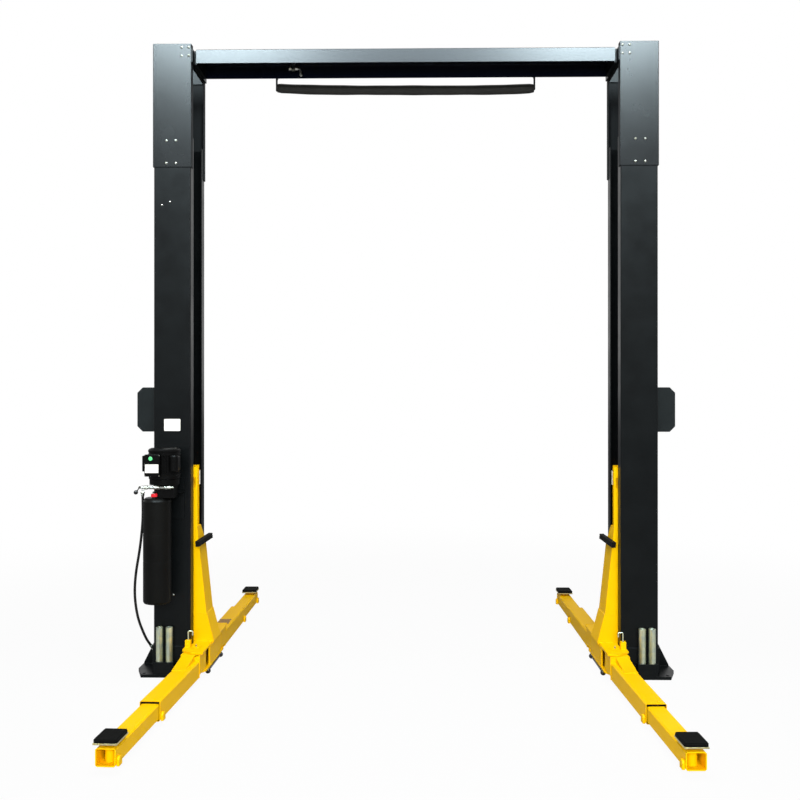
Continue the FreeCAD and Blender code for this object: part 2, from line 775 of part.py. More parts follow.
# Arm pivot pins with flat heads
pins = []
for i, side in enumerate(("-1", "1")):
    shank = cylinder(f"pin_shank_{i}", "-pivot_x", f"{side} * pivot_y", "carriage_bottom", "pin_diameter",
                     "yoke_top - carriage_bottom")
    cap = cylinder(f"pin_cap_{i}", "-pivot_x", f"{side} * pivot_y", "yoke_top", "pin_head", "pin_head_height")
    pins.append(join(f"pin_{i}", shank, cap))
leftPins = group("left_arm_pins", *pins)
keep(leftPins, mirror("right_arm_pins", leftPins))

# Rod with ball knobs under the inner edge of the yoke
rodX = "-(yoke_inner + rod_inset)"
shaft = rod("rod_shaft", rodX, "-rod_length / 2", "rod_level", "rod_diameter", "rod_length", V(0, 1, 0))
knobs = []
for i, side in enumerate(("-1", "1")):
    knobs.append(knob(f"rod_ball_{i}", rodX, f"{side} * rod_length / 2", "rod_level", "rod_knob"))
clips = []
for i, side in enumerate(("-1", "1")):
    clips.append(block(f"rod_clip_{i}", f"{rodX} - rod_diameter / 2", f"{side} * clip_spread / 2 - clip_width / 2",
                       "rod_level", "rod_diameter", "clip_width", "carriage_bottom - rod_level"))
leftRod = join("left_knob_rod", shaft, *knobs, *clips)
keep(leftRod, mirror("right_knob_rod", leftRod))

# Arm restraint pulls: a bent rod standing in the tab
tabX = "yoke_outer - tab_inset - tab_width / 2"


def restraint(label, side, end):
    body = newBody(label)
    bend = "pull_diameter"
    foot = "yoke_top - 5"
    top = "yoke_top + tab_rise + pull_rise"
    route = newSketch(body, "XZ_Plane")
    corners = [("0", foot), ("0", f"{top} - {bend}"), (f"{bend} * 0.3", f"{top} - {bend} * 0.3"), (bend, top),
               (f"pull_reach - {bend}", top), (f"pull_reach - {bend} * 0.3", f"{top} - {bend} * 0.3"),
               ("pull_reach", f"{top} - {bend}"), ("pull_reach", f"{top} - pull_reach")]
    points = [V(number(x), number(z), 0) for x, z in corners]
    for i, (a, b) in enumerate(zip(points, points[1:])):
        route.addGeometry(Part.LineSegment(a, b))
        if i:
            route.addConstraint(Sketcher.Constraint("Coincident", i - 1, 2, i, 1))
        pin(route, i, 1, *corners[i])
    pin(route, len(points) - 2, 2, *corners[-1])
    section = newSketch(body, "XY_Plane", foot)
    ring = []
    for step in range(12):
        turn = math.radians(30 * step + 15)
        ring.append((f"{math.cos(turn):.4f} * pull_diameter / 2", f"{math.sin(turn):.4f} * pull_diameter / 2"))
    drawLoop(section, ring)
    pipe = body.newObject("PartDesign::AdditivePipe", label + "_pipe")
    pipe.Profile = section
    pipe.Spine = (route, [f"Edge{i}" for i in range(1, len(points))])
    pipe.Transition = "Right corner"
    if side == "1":
        body.Placement = FreeCAD.Placement(V(), FreeCAD.Rotation(V(0, 0, 1), 180))
    return place(body, f"{side} * ({tabX})", f"{end} * pivot_y", 0)


for sideName, side in (("left", "-1"), ("right", "1")):
    for endName, end in (("front", "-1"), ("rear", "1")):
        keep(restraint(f"{sideName}_{endName}_restraint", side, end))

# Arms. Each is drawn from its pivot along -Y and then turned about the pivot.
headTop = "yoke_top - yoke_plate - head_clearance"
headLow = "carriage_bottom + yoke_plate + head_clearance"
armTop = "arm_clear + arm_height"


def turn(thing, side, end, lean):
    angle = f"({side}) * ({lean}) * 1 deg" if end == "-1" else f"180 deg - ({side}) * ({lean}) * 1 deg"
    thing.Placement = FreeCAD.Placement(V(), FreeCAD.Rotation(V(0, 0, 1), 30))
    thing.setExpression("Placement.Rotation.Angle", sized(angle))
    return place(thing, f"({side}) * pivot_x", f"({end}) * pivot_y", 0)


def lug(body, side, end, half, far, low):
    bay = f"({side}) * ({end})"
    base = newSketch(body, "XY_Plane", low)
    drawBox(base, f"{bay} * ({half} - 1)", f"-({far})", f"{bay} * ({half} + lug_width)", f"-({far} - lug_length)")
    return pad(body, base, "lug_height")


def outerArm(label, side, end, lean):
    body = newBody(label)
    rear = newSketch(body, "XY_Plane", headLow)
    drawBox(rear, "-head_radius", "-(head_length + arm_wall)", "head_radius", "0")
    pad(body, rear, f"{headTop} - ({headLow})")
    nose = newSketch(body, "XY_Plane", headLow)
    drawCircle(nose, "0", "0", "2 * head_radius")
    pad(body, nose, f"{headTop} - ({headLow})")
    tubeSketch = newSketch(body, "XZ_Plane", "head_length")
    drawTube(tubeSketch, "-arm_width / 2", "arm_clear", "arm_width / 2", armTop, "tube_corner")
    pad(body, tubeSketch, "arm_length - head_length")
    boreSketch = newSketch(body, "XZ_Plane", "arm_length")
    drawBox(boreSketch, "-(arm_width / 2 - arm_wall)", "arm_clear + arm_wall",
            "arm_width / 2 - arm_wall", f"{armTop} - arm_wall")
    pocket(body, boreSketch, "arm_length - head_length - arm_wall")
    lug(body, side, end, "arm_width / 2", "arm_length - lug_inset", "arm_clear")
    ramp = newSketch(body, "YZ_Plane", f"-({side}) * ({end}) * ramp_shift")
    drawLoop(ramp, [("-head_length", armTop), ("-head_length", headTop), ("-ramp_end", armTop)])
    pad(body, ramp, "ramp_width", centred=True)
    eye = newSketch(body, "XY_Plane", headTop)
    drawCircle(eye, "0", "0", "pin_diameter + 2 * pin_clearance")
    pocket(body, eye, f"{headTop} - ({headLow})")
    return turn(body, side, end, lean)


innerLow = "arm_clear + arm_wall + slide_clearance"
innerTop = f"{innerLow} + inner_height"


def innerArm(label, side, end, lean):
    body = newBody(label)
    innerLength = "inner_reach - arm_length + inner_overlap"
    tubeSketch = newSketch(body, "XZ_Plane", "arm_length - inner_overlap")
    drawTube(tubeSketch, "-inner_width / 2", innerLow, "inner_width / 2", innerTop, "tube_corner")
    pad(body, tubeSketch, innerLength)
    boreSketch = newSketch(body, "XZ_Plane", "inner_reach")
    drawBox(boreSketch, "-(inner_width / 2 - inner_wall)", f"{innerLow} + inner_wall",
            "inner_width / 2 - inner_wall", f"{innerTop} - inner_wall")
    pocket(body, boreSketch, innerLength)
    lug(body, side, end, "inner_width / 2", "inner_reach - lug_inset", innerLow)
    socketTop = "pad_level - stem_clearance"
    sleeve = newSketch(body, "XY_Plane", innerLow)
    drawCircle(sleeve, "0", "-(inner_reach - socket_setback)", "socket_diameter")
    pad(body, sleeve, f"{socketTop} - ({innerLow})")
    bore = newSketch(body, "XY_Plane", socketTop)
    drawCircle(bore, "0", "-(inner_reach - socket_setback)", "stem_diameter + 2 * stem_clearance")
    pocket(body, bore, f"{socketTop} - ({innerLow})")
    return turn(body, side, end, lean)


def padPlate(label, side, end, lean):
    body = newBody(label)
    y = "-(inner_reach - socket_setback)"
    stem = newSketch(body, "XY_Plane", f"{innerLow} + 2")
    drawCircle(stem, "0", y, "stem_diameter")
    pad(body, stem, f"pad_level - ({innerLow}) - 2")
    plate = newSketch(body, "XY_Plane", "pad_level")
    drawBox(plate, "-pad_width / 2", f"{y} - pad_length / 2", "pad_width / 2", f"{y} + pad_length / 2")
    pad(body, plate, "pad_plate")
    return turn(body, side, end, lean)


def padRubber(label, side, end, lean):
    body = newBody(label)
    y = "-(inner_reach - socket_setback)"
    outline = newSketch(body, "XY_Plane", "pad_level + pad_plate")
    drawBox(outline, "-pad_width / 2", f"{y} - pad_length / 2", "pad_width / 2", f"{y} + pad_length / 2")
    solid = pad(body, outline, "pad_rubber")
    corners = edgesWhere(solid, lambda e, c: along(e, V(0, 0, 1)))
    chamfer(body, solid, corners, "pad_corner")
    return turn(body, side, end, lean)


for sideName, side in (("left", "-1"), ("right", "1")):
    for endName, end in (("front", "-1"), ("rear", "1")):
        lean = f"front_lean_{sideName}" if endName == "front" else "0"
        name = f"{sideName}_{endName}"
        keep(outerArm(f"{name}_arm", side, end, lean))
        keep(innerArm(f"{name}_inner_arm", side, end, lean))
        keep(padPlate(f"{name}_pad_plate", side, end, lean))
        keep(padRubber(f"{name}_pad", side, end, lean))

# Power unit: motor, control box, pump block, oil tank and bracket
motor = turned("motor_shell", "-motor_x", "-motor_y", "motor_bottom", "motor_diameter", "motor_height",
               "motor_corner", lower=False)
can = cylinder("capacitor", "-capacitor_x", "-capacitor_y", "capacitor_bottom", "capacitor_diameter",
               "capacitor_length")
keep(join("motor", motor, can))
motorSpace = cylinder("motor_space", "-motor_x", "-motor_y", "motor_bottom", "motor_diameter", "motor_height")
housing = block("box_solid", "-(box_x + box_width / 2)", "-(motor_y + box_depth)", "box_bottom",
                "box_width", "box_depth", "box_height")
sideBox = block("side_box", "-(box_x + box_width / 2 + side_box_width)", "-(motor_y + box_depth - side_box_rise / 3)",
                "box_bottom + side_box_rise", "side_box_width", "side_box_depth", "side_box_height")
keep(cut("control_box", join("box_shell", housing, sideBox), motorSpace))
pump = block("pump_solid", "-(block_x + block_width / 2)", "-(motor_y + block_depth / 2)", "block_bottom",
             "block_width", "block_depth", "motor_bottom - flange_height - block_bottom")
flange = cylinder("pump_flange", "-motor_x", "-motor_y", "motor_bottom - flange_height", "flange_diameter",
                  "flange_height")
keep(join("pump_block", pump, flange))
tank = turned("tank_shell", "-tank_x", "-motor_y", "tank_bottom", "tank_diameter", "tank_height", "tank_corner")
neck = cylinder("cap_neck", "-cap_x", "-(motor_y + cap_offset)", "tank_bottom + tank_height - 5", "neck_diameter",
                "neck_height + 5")
keep(join("oil_tank", tank, neck))
back = block("bracket_back", "-(motor_x + unit_bracket_width / 2)", f"-({halfDepth} + unit_bracket_plate)",
             "motor_bottom - bracket_height", "unit_bracket_width", "unit_bracket_plate", "bracket_height")
shelf = block("bracket_shelf", "-(motor_x + unit_bracket_width / 2)", f"-(motor_y - block_depth / 2)",
              "block_bottom + shelf_rise", "unit_bracket_width", f"motor_y - block_depth / 2 - ({halfDepth})",
              "unit_bracket_plate")
keep(join("unit_bracket", back, shelf))
cap = doc.addObject("Part::Prism", "filler_cap")
cap.Label = "filler_cap"
cap.Polygon = 18
bind(cap, Circumradius="cap_diameter / 2", Height="cap_height")
keep(place(cap, "-cap_x", "-(motor_y + cap_offset)", "tank_bottom + tank_height + neck_height"))
frontY = "motor_y + block_depth / 2 + fitting_diameter / 2"
row = []
rowStep = "(row_outer - row_inner) / 10"
for i, (start, end, across) in enumerate(((0, 3, "nut_diameter"), (3, 6, "fitting_diameter"),
                                          (6, 9, "nut_diameter"), (9, 10, "0.6 * fitting_diameter"))):
    row.append(rod(f"valve_{i}", f"-(row_outer - {start} * {rowStep})", f"-({frontY})", "fitting_level",
                   across, f"{end - start} * {rowStep}", V(1, 0, 0)))
leverX = "row_outer + lever_hub / 2 + 3"
earY = "lever_hub_width / 2 + lever_ear_gap"
row.append(block("lever_ear", f"-({leverX} + lever_hub / 2)", f"-({frontY}) + {earY}", "fitting_level - lever_hub / 2",
                 "lever_hub + 8", "lever_ear", "lever_hub"))
row.append(cylinder("lever_stud", f"-({leverX})", f"-({frontY} + {earY} + lever_ear)", "fitting_level", "lever_stud",
                    f"2 * ({earY} + lever_ear)", V(0, 1, 0)))

# Hose route from the valve row down to the foot of the column
route = [V(-1612, -345, 1160), V(-1633, -275, 1112), V(-1636, -264, 993), V(-1652, -250, 865),
         V(-1668, -242, 770), V(-1690, -232, 661), V(-1702, -222, 546), V(-1700, -208, 448),
         V(-1688, -188, 348), V(-1661, -160, 253), V(-1645, -140, 203), V(-1626, -118, 165)]


def socket(name, start, towards, length):
    thing = doc.addObject("Part::Prism", name)
    thing.Polygon = 12
    bind(thing, Circumradius="hose_socket / 2", Height=length)
    thing.Placement = FreeCAD.Placement(start, FreeCAD.Rotation(V(0, 0, 1), towards))
    return thing


row.append(socket("hose_elbow", route[0], route[0] - route[1], "hose_elbow"))
fittings = join("valve_row", *row)
boss = rod("port_boss", "-port_x", "-port_y", "port_level", "hose_socket",
           f"port_x - ({columnOut} + collar_thickness)", V(1, 0, 0))
port = join("hose_port", boss, socket("port_elbow", route[-1], route[-1] - route[-2], "port_elbow"))
keep(group("hydraulic_fittings", fittings, port))


def roundedPath(points):
    bends = []
    for before, point, after in zip(points, points[1:], points[2:]):
        back = before - point
        ahead = after - point
        half = (math.pi - back.getAngle(ahead)) / 2
        reach = 0.45 * min(back.Length, ahead.Length)
        back.normalize()
        ahead.normalize()
        bends.append((point + back * reach, point, point + ahead * reach, reach / math.tan(half)))
    edges = []
    start = points[0]
    for enter, point, leave, radius in bends:
        chord = (enter + leave) / 2
        middle = chord - point
        sag = math.sqrt(radius ** 2 + (enter - point).Length ** 2) - radius
        middle.normalize()
        edges.append(Part.LineSegment(start, enter).toShape())
        edges.append(Part.Arc(enter, point + middle * sag, leave).toShape())
        start = leave
    edges.append(Part.LineSegment(start, points[-1]).toShape())
    return Part.Wire(edges), [bend[3] for bend in bends]


path, radii = roundedPath(route)
around = FreeCAD.Rotation(V(0, 0, 1), route[1] - route[0])
radius = number("hose_diameter") / 2
ring = [route[0] + around.multVec(V(math.cos(math.radians(a)), math.sin(math.radians(a)), 0) * radius)
        for a in range(0, 361, 30)]
section = Part.makePolygon(ring)
hose = doc.addObject("Part::Feature", "pressure_hose")
hose.Label = "pressure_hose"
hose.Shape = path.makePipeShell([section], True, False)
keep(hose)
print("hose radii", [round(radius) for radius in radii], "length", round(path.Length))
expected = path.Length * Part.Face(section).Area
print("hose volume against section times length", round(hose.Shape.Volume / expected, 4))

hub = rod("lever_hub_solid", f"-({leverX})", f"-({frontY} + lever_hub_width / 2)", "fitting_level", "lever_hub",
          "lever_hub_width", V(0, 1, 0), 16)
down = V(-number("lever_out"), -number("lever_forward"), -number("lever_down"))
stick = rod("lever_stick", f"-({leverX})", f"-({frontY})", "fitting_level", "lever_diameter",
            "sqrt(lever_out ^ 2 + lever_forward ^ 2 + lever_down ^ 2)", down)
ball = knob("lever_ball", f"-({leverX} + lever_out)", f"-({frontY} + lever_forward)", "fitting_level - lever_down",
            "lever_knob")
eye = cylinder("lever_eye", f"-({leverX})", f"-({frontY} + lever_hub_width)", "fitting_level",
               "lever_stud + 2 * pin_clearance", "2 * lever_hub_width", V(0, 1, 0))
keep(cut("lowering_lever", join("lever_solid", hub, stick, ball), eye))

doc.recompute()
failed = [o.Name for o in doc.Objects if "Invalid" in o.State or "Error" in o.State]
if failed:
    raise RuntimeError(f"failed: {failed}")
os.makedirs("parts", exist_ok=True)
for thing in nodes:
    shape = thing.Shape
    if shape.isNull() or not shape.isValid():
        raise RuntimeError(f"{thing.Label}: bad shape")
    shape.exportStep(f"parts/{thing.Label}.step")
    print(thing.Label, len(shape.Solids), round(shape.Volume))
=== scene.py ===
import math
import random

import bmesh
import bpy
from mathutils import Matrix, Vector


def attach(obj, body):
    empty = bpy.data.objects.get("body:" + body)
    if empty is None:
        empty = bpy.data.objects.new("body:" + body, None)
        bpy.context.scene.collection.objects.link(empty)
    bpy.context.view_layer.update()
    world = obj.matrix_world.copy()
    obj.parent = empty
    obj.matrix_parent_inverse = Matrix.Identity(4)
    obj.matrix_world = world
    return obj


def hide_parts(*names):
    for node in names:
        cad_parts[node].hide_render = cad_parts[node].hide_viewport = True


# Two post car lift in its own frame: metres, X across the bay, Y to the back, Z up from the floor.

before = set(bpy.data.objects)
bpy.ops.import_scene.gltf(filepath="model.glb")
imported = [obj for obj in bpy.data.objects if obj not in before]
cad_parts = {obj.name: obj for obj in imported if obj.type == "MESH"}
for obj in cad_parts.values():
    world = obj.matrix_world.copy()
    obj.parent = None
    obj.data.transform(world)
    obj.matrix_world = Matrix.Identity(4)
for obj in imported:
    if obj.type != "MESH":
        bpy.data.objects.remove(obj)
scene = bpy.context.scene
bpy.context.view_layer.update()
random.seed(4)
sides = ("left", "right")
arms = [(sideName, endName) for sideName in sides for endName in ("front", "rear")]
print("frame loaded:", len(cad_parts), "nodes")


# Camera at eye height, nearly square to the bay
cameraSetup = {"place": (0.0530, -5.6857, 1.7355), "tilt": 90.07, "turn": 0.87, "lens": 39.22, "sensor": 36}

cameraData = bpy.data.cameras.new("viewCamera")
cameraData.lens = cameraSetup["lens"]
cameraData.sensor_width = cameraSetup["sensor"]
camera = bpy.data.objects.new("viewCamera", cameraData)
camera.location = cameraSetup["place"]
camera.rotation_euler = (math.radians(cameraSetup["tilt"]), 0, math.radians(cameraSetup["turn"]))
scene.collection.objects.link(camera)
scene.camera = camera


# Pressure hose: from the valve row, down beside the tank, into the foot of the column
hoseSetup = {
    "diameter": 0.016,
    "length": 1.06,
    "route": [(-1.612, -0.345, 1.160), (-1.633, -0.275, 1.112), (-1.636, -0.264, 0.993),
              (-1.652, -0.250, 0.865), (-1.668, -0.242, 0.770), (-1.690, -0.232, 0.661),
              (-1.702, -0.222, 0.546), (-1.700, -0.208, 0.448), (-1.688, -0.188, 0.348),
              (-1.661, -0.160, 0.253), (-1.645, -0.140, 0.203), (-1.626, -0.118, 0.165)],
}

hoseCurve = bpy.data.curves.new("pressureHose", "CURVE")
hoseCurve.dimensions = "3D"
hoseCurve.bevel_depth = 1  # the points carry the real radius, which keeps the curve's box tight
hoseCurve.bevel_resolution = 5
hoseCurve.use_fill_caps = True
hoseCurve.resolution_u = 10
hoseLine = hoseCurve.splines.new("NURBS")
hoseLine.points.add(len(hoseSetup["route"]) - 1)
for point, place in zip(hoseLine.points, hoseSetup["route"]):
    point.co = (*place, 1)
    point.radius = hoseSetup["diameter"] / 2
hoseLine.order_u = 3
hoseLine.use_endpoint_u = True
hose = bpy.data.objects.new("pressureHose", hoseCurve)
scene.collection.objects.link(hose)
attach(hose, "frame")
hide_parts("pressure_hose")
print("camera and hose placed")


# Studio: white surround, pale floor, and soft boxes that put the sheen on the beam and the extensions
studioSetup = {
    "surroundLevel": 0.13,
    "surroundTint": "#fbfcff",
    "floorColour": "#b9bbbc",
    "floorGlow": 0.955,
    "floorCorners": [(-300, -40, 0), (300, -40, 0), (300, 900, 0), (-300, 900, 0)],
    "glowReach": (2.6, 7.0),
    "boxTint": (0.76, 0.93, 1.0),
    "boxes": [((-2.55, -6.0, 7.30), 2.1, 1.9, 1230), ((2.55, -6.0, 7.30), 2.1, 1.9, 1230),
              ((0, -6.0, 6.70), 2.8, 0.8, 175)],
    "fills": [((0.3, -8.5, 3.4), 5.0, 3.0, 770), ((0, -1.6, 7.2), 4.5, 3.0, 460)],
    "boxAim": 6.4,
    "aim": (0, 0, 1.9),
}


def linear(text):
    channels = [int(text[i:i + 2], 16) / 255 for i in (1, 3, 5)]
    return [c / 12.92 if c <= 0.04045 else ((c + 0.055) / 1.055) ** 2.4 for c in channels] + [1]


def addNode(tree, kind, settings=None, links=None):
    made = tree.nodes.new("ShaderNode" + kind)
    for name, value in (settings or {}).items():
        if isinstance(name, int) or name in made.inputs:
            made.inputs[name].default_value = value
        else:
            setattr(made, name, value)
    for name, source in (links or {}).items():
        tree.links.new(source, made.inputs[name])
    return made


def makeSurround(setup):
    # A dim light on the object, white to the camera and in reflections
    world = bpy.data.worlds.new("studio")
    scene.world = world
    world.use_nodes = True
    tree = world.node_tree
    tree.nodes.clear()
    rays = addNode(tree, "LightPath")
    seen = addNode(tree, "Math", {"operation": "MAXIMUM"},
                   {0: rays.outputs["Is Camera Ray"], 1: rays.outputs["Is Glossy Ray"]})
    seen = addNode(tree, "Math", {"operation": "MAXIMUM"},
                   {0: seen.outputs[0], 1: rays.outputs["Is Transmission Ray"]})
    light = addNode(tree, "Background",
                    {"Color": linear(setup["surroundTint"]), "Strength": setup["surroundLevel"]})
    white = addNode(tree, "Background", {"Color": (1, 1, 1, 1), "Strength": 1})
    mixed = addNode(tree, "MixShader", {}, {0: seen.outputs[0], 1: light.outputs[0], 2: white.outputs[0]})
    addNode(tree, "OutputWorld", {}, {"Surface": mixed.outputs[0]})


def makeLamps(setup):
    # The boxes only give the sheen, the fills only the level
    for number, (place, width, height, power) in enumerate(setup["boxes"] + setup["fills"]):
        isBox = number < len(setup["boxes"])
        lamp = bpy.data.lights.new(f"softBox{number}", "AREA")
        lamp.shape = "RECTANGLE"
        lamp.size = width
        lamp.size_y = height
        lamp.energy = power
        lamp.color = setup["boxTint"] if isBox else (1, 1, 1)
        holder = bpy.data.objects.new(f"softBox{number}", lamp)
        holder.location = place
        # A box that is turned only about X gives a level sheen
        aim = Vector((place[0], 0, setup["boxAim"])) if isBox else Vector(setup["aim"])
        holder.rotation_euler = (aim - Vector(place)).to_track_quat("-Z", "Y").to_euler()
        scene.collection.objects.link(holder)
        holder.visible_glossy = isBox
        holder.visible_diffuse = not isBox


def makeFloor(setup):
    # A pale floor that glows towards white away from the lift, and keeps its shadow
    mesh = bpy.data.meshes.new("studioFloor")
    mesh.from_pydata(setup["floorCorners"], [], [(0, 1, 2, 3)])
    floor = bpy.data.objects.new("studioFloor", mesh)
    scene.collection.objects.link(floor)
    paint = bpy.data.materials.new("studioFloorVinyl")
    paint.use_nodes = True
    tree = paint.node_tree
    tree.nodes.clear()
    rays = addNode(tree, "LightPath")
    place = addNode(tree, "TexCoord")
    away = addNode(tree, "VectorMath", {"operation": "LENGTH"}, {0: place.outputs["Object"]})
    near, far = setup["glowReach"]
    level = addNode(tree, "MapRange", {"interpolation_type": "SMOOTHSTEP", "From Min": near, "From Max": far,
                                       "To Min": setup["floorGlow"], "To Max": 1},
                    {"Value": away.outputs["Value"]})
    share = addNode(tree, "Math", {"operation": "MULTIPLY"},
                    {0: rays.outputs["Is Camera Ray"], 1: level.outputs[0]})
    matt = addNode(tree, "BsdfDiffuse", {"Color": linear(setup["floorColour"])})
    glow = addNode(tree, "Emission", {"Color": (1, 1, 1, 1), "Strength": 1})
    mixed = addNode(tree, "MixShader", {}, {0: share.outputs[0], 1: matt.outputs[0], 2: glow.outputs[0]})
    addNode(tree, "OutputMaterial", {}, {"Surface": mixed.outputs[0]})
    mesh.materials.append(paint)


makeSurround(studioSetup)
makeLamps(studioSetup)
makeFloor(studioSetup)
scene.view_settings.view_transform = "Standard"
print("studio ready")


# Materials. Each one has a dictionary of what a user would change; sizes are in millimetres.
def startMaterial(name):
    material = bpy.data.materials.new(name)
    material.use_nodes = True
    tree = material.node_tree
    tree.nodes.clear()
    place = addNode(tree, "TexCoord")
    return material, tree, place.outputs["Object"]


def perMetre(millimetres):
    return 1000 / millimetres


def finishMaterial(material, tree, tone, height, relief, depth, settings, gloss=None):
    # Every finish ends with its relief, its shader and the output
    bump = addNode(tree, "Bump", {"Strength": relief, "Distance": depth}, {"Height": height})
    links = {"Base Color": tone.outputs[2], "Normal": bump.outputs[0]}
    if gloss:
        links["Roughness"] = gloss.outputs[0]
    shader = addNode(tree, "BsdfPrincipled", settings, links)
    addNode(tree, "OutputMaterial", {}, {"Surface": shader.outputs[0]})
    return material


def powderCoat(name, look):
    # Powder coat: baked dust of pigment, even and slightly pebbled, so its highlights are broad and soft
    material, tree, place = startMaterial(name)
    pebble = addNode(tree, "TexNoise", {"Scale": perMetre(look["pebble"]), "Detail": 2}, {"Vector": place})
    cloud = addNode(tree, "TexNoise", {"Scale": perMetre(look["cloud"]), "Detail": 4, "Roughness": 0.55},
                    {"Vector": place})
    tone = addNode(tree, "Mix", {"data_type": "RGBA", 6: linear(look["dark"]), 7: linear(look["light"])},
                   {0: cloud.outputs["Fac"]})
    drift = look.get("drift", 0.05)
    gloss = addNode(tree, "MapRange", {"From Min": 0.3, "From Max": 0.7, "To Min": look["roughness"] - drift,
                                       "To Max": look["roughness"] + drift}, {"Value": cloud.outputs["Fac"]})
    if "skin" in look:  # the faces inside the fold are dusted thinly and stay dull
        parts = addNode(tree, "SeparateXYZ", {}, {0: place})
        depth = addNode(tree, "Math", {"operation": "ABSOLUTE"}, {0: parts.outputs["Y"]})
        dull = addNode(tree, "Math", {"operation": "LESS_THAN", 1: look["skin"]}, {0: depth.outputs[0]})
        gloss = addNode(tree, "Math", {"operation": "MULTIPLY_ADD", 1: look["dullness"]},
                        {0: dull.outputs[0], 2: gloss.outputs[0]})
    return finishMaterial(material, tree, tone, pebble.outputs["Fac"], look["relief"], 0.0002,
                          {"IOR": look["ior"], "Specular IOR Level": look["specular"]}, gloss)


def glossEnamel(name, look):
    # Sprayed enamel: strong colour under a clear skin, a slight orange peel, scuffs where steel rubs on it
    material, tree, place = startMaterial(name)
    peel = addNode(tree, "TexNoise", {"Scale": perMetre(look["peel"]), "Detail": 1}, {"Vector": place})
    cloud = addNode(tree, "TexNoise", {"Scale": perMetre(look["cloud"]), "Detail": 5, "Roughness": 0.6},
                    {"Vector": place})
    tone = addNode(tree, "Mix", {"data_type": "RGBA", 6: linear(look["deep"]), 7: linear(look["colour"])},
                   {0: cloud.outputs["Fac"]})
    scuffs = addNode(tree, "TexNoise", {"Scale": perMetre(look["scuff"]), "Detail": 8, "Roughness": 0.7},
                     {"Vector": place})
    fade = 0.06  # how softly a scuff ends
    worn = addNode(tree, "MapRange", {"From Min": look["wornFrom"], "From Max": look["wornFrom"] + fade,
                                      "To Min": 0, "To Max": 0.7}, {"Value": scuffs.outputs["Fac"]})
    mixed = addNode(tree, "Mix", {"data_type": "RGBA", 7: linear(look["bare"])},
                    {0: worn.outputs[0], 6: tone.outputs[2]})
    return finishMaterial(material, tree, mixed, peel.outputs["Fac"], look["relief"], 0.0003,
                          {"Roughness": look["roughness"], "Coat Weight": look["coat"],
                           "Coat Roughness": 0.2, "IOR": 1.45, "Specular IOR Level": look["specular"]})


def platedSteel(name, look):
    # Zinc or nickel plate: a thin metal skin with faint drawn lines and a cloudy tint
    material, tree, place = startMaterial(name)
    stretch = addNode(tree, "Mapping", {"Scale": look["grain"]}, {"Vector": place})
    lines = addNode(tree, "TexNoise", {"Scale": perMetre(look["line"]), "Detail": 3},
                    {"Vector": stretch.outputs[0]})
    cloud = addNode(tree, "TexNoise", {"Scale": perMetre(look["cloud"]), "Detail": 4}, {"Vector": place})
    spread = addNode(tree, "MapRange", {"From Min": 0.35, "From Max": 0.65}, {"Value": cloud.outputs["Fac"]})
    tone = addNode(tree, "Mix", {"data_type": "RGBA", 6: linear(look["cool"]), 7: linear(look["warm"])},
                   {0: spread.outputs[0]})
    gloss = addNode(tree, "MapRange", {"To Min": look["roughness"] - 0.08, "To Max": look["roughness"] + 0.1},
                    {"Value": lines.outputs["Fac"]})
    return finishMaterial(material, tree, tone, lines.outputs["Fac"], 0.15, 0.0002,
                          {"Metallic": look["metallic"]}, gloss)


def mouldedRubber(name, look):
    # Moulded rubber: near black, dull, with a fine grain and a greyer bloom where it has been touched
    material, tree, place = startMaterial(name)
    grain = addNode(tree, "TexNoise", {"Scale": perMetre(look["grain"]), "Detail": 3}, {"Vector": place})
    bloom = addNode(tree, "TexNoise", {"Scale": perMetre(look["bloom"]), "Detail": 5}, {"Vector": place})
    tone = addNode(tree, "Mix", {"data_type": "RGBA", 6: linear(look["dark"]), 7: linear(look["light"])},
                   {0: bloom.outputs["Fac"]})
    return finishMaterial(material, tree, tone, grain.outputs["Fac"], look["relief"], 0.0004,
                          {"Roughness": look["roughness"], "IOR": 1.52,
                           "Specular IOR Level": look["specular"]})


def mouldedPlastic(name, look):
    # Injection moulding: even colour, soft gloss, a faint spark-eroded grain from the tool
    material, tree, place = startMaterial(name)
    grain = addNode(tree, "TexVoronoi", {"Scale": perMetre(look["grain"])}, {"Vector": place})
    cloudSize = 40
    drift = addNode(tree, "TexNoise", {"Scale": perMetre(cloudSize), "Detail": 2}, {"Vector": place})
    tone = addNode(tree, "Mix", {"data_type": "RGBA", 6: linear(look["dark"]), 7: linear(look["light"])},
                   {0: drift.outputs["Fac"]})
    return finishMaterial(material, tree, tone, grain.outputs["Distance"], 0.12, 0.0002,
                          {"Roughness": look["roughness"], "IOR": 1.49})


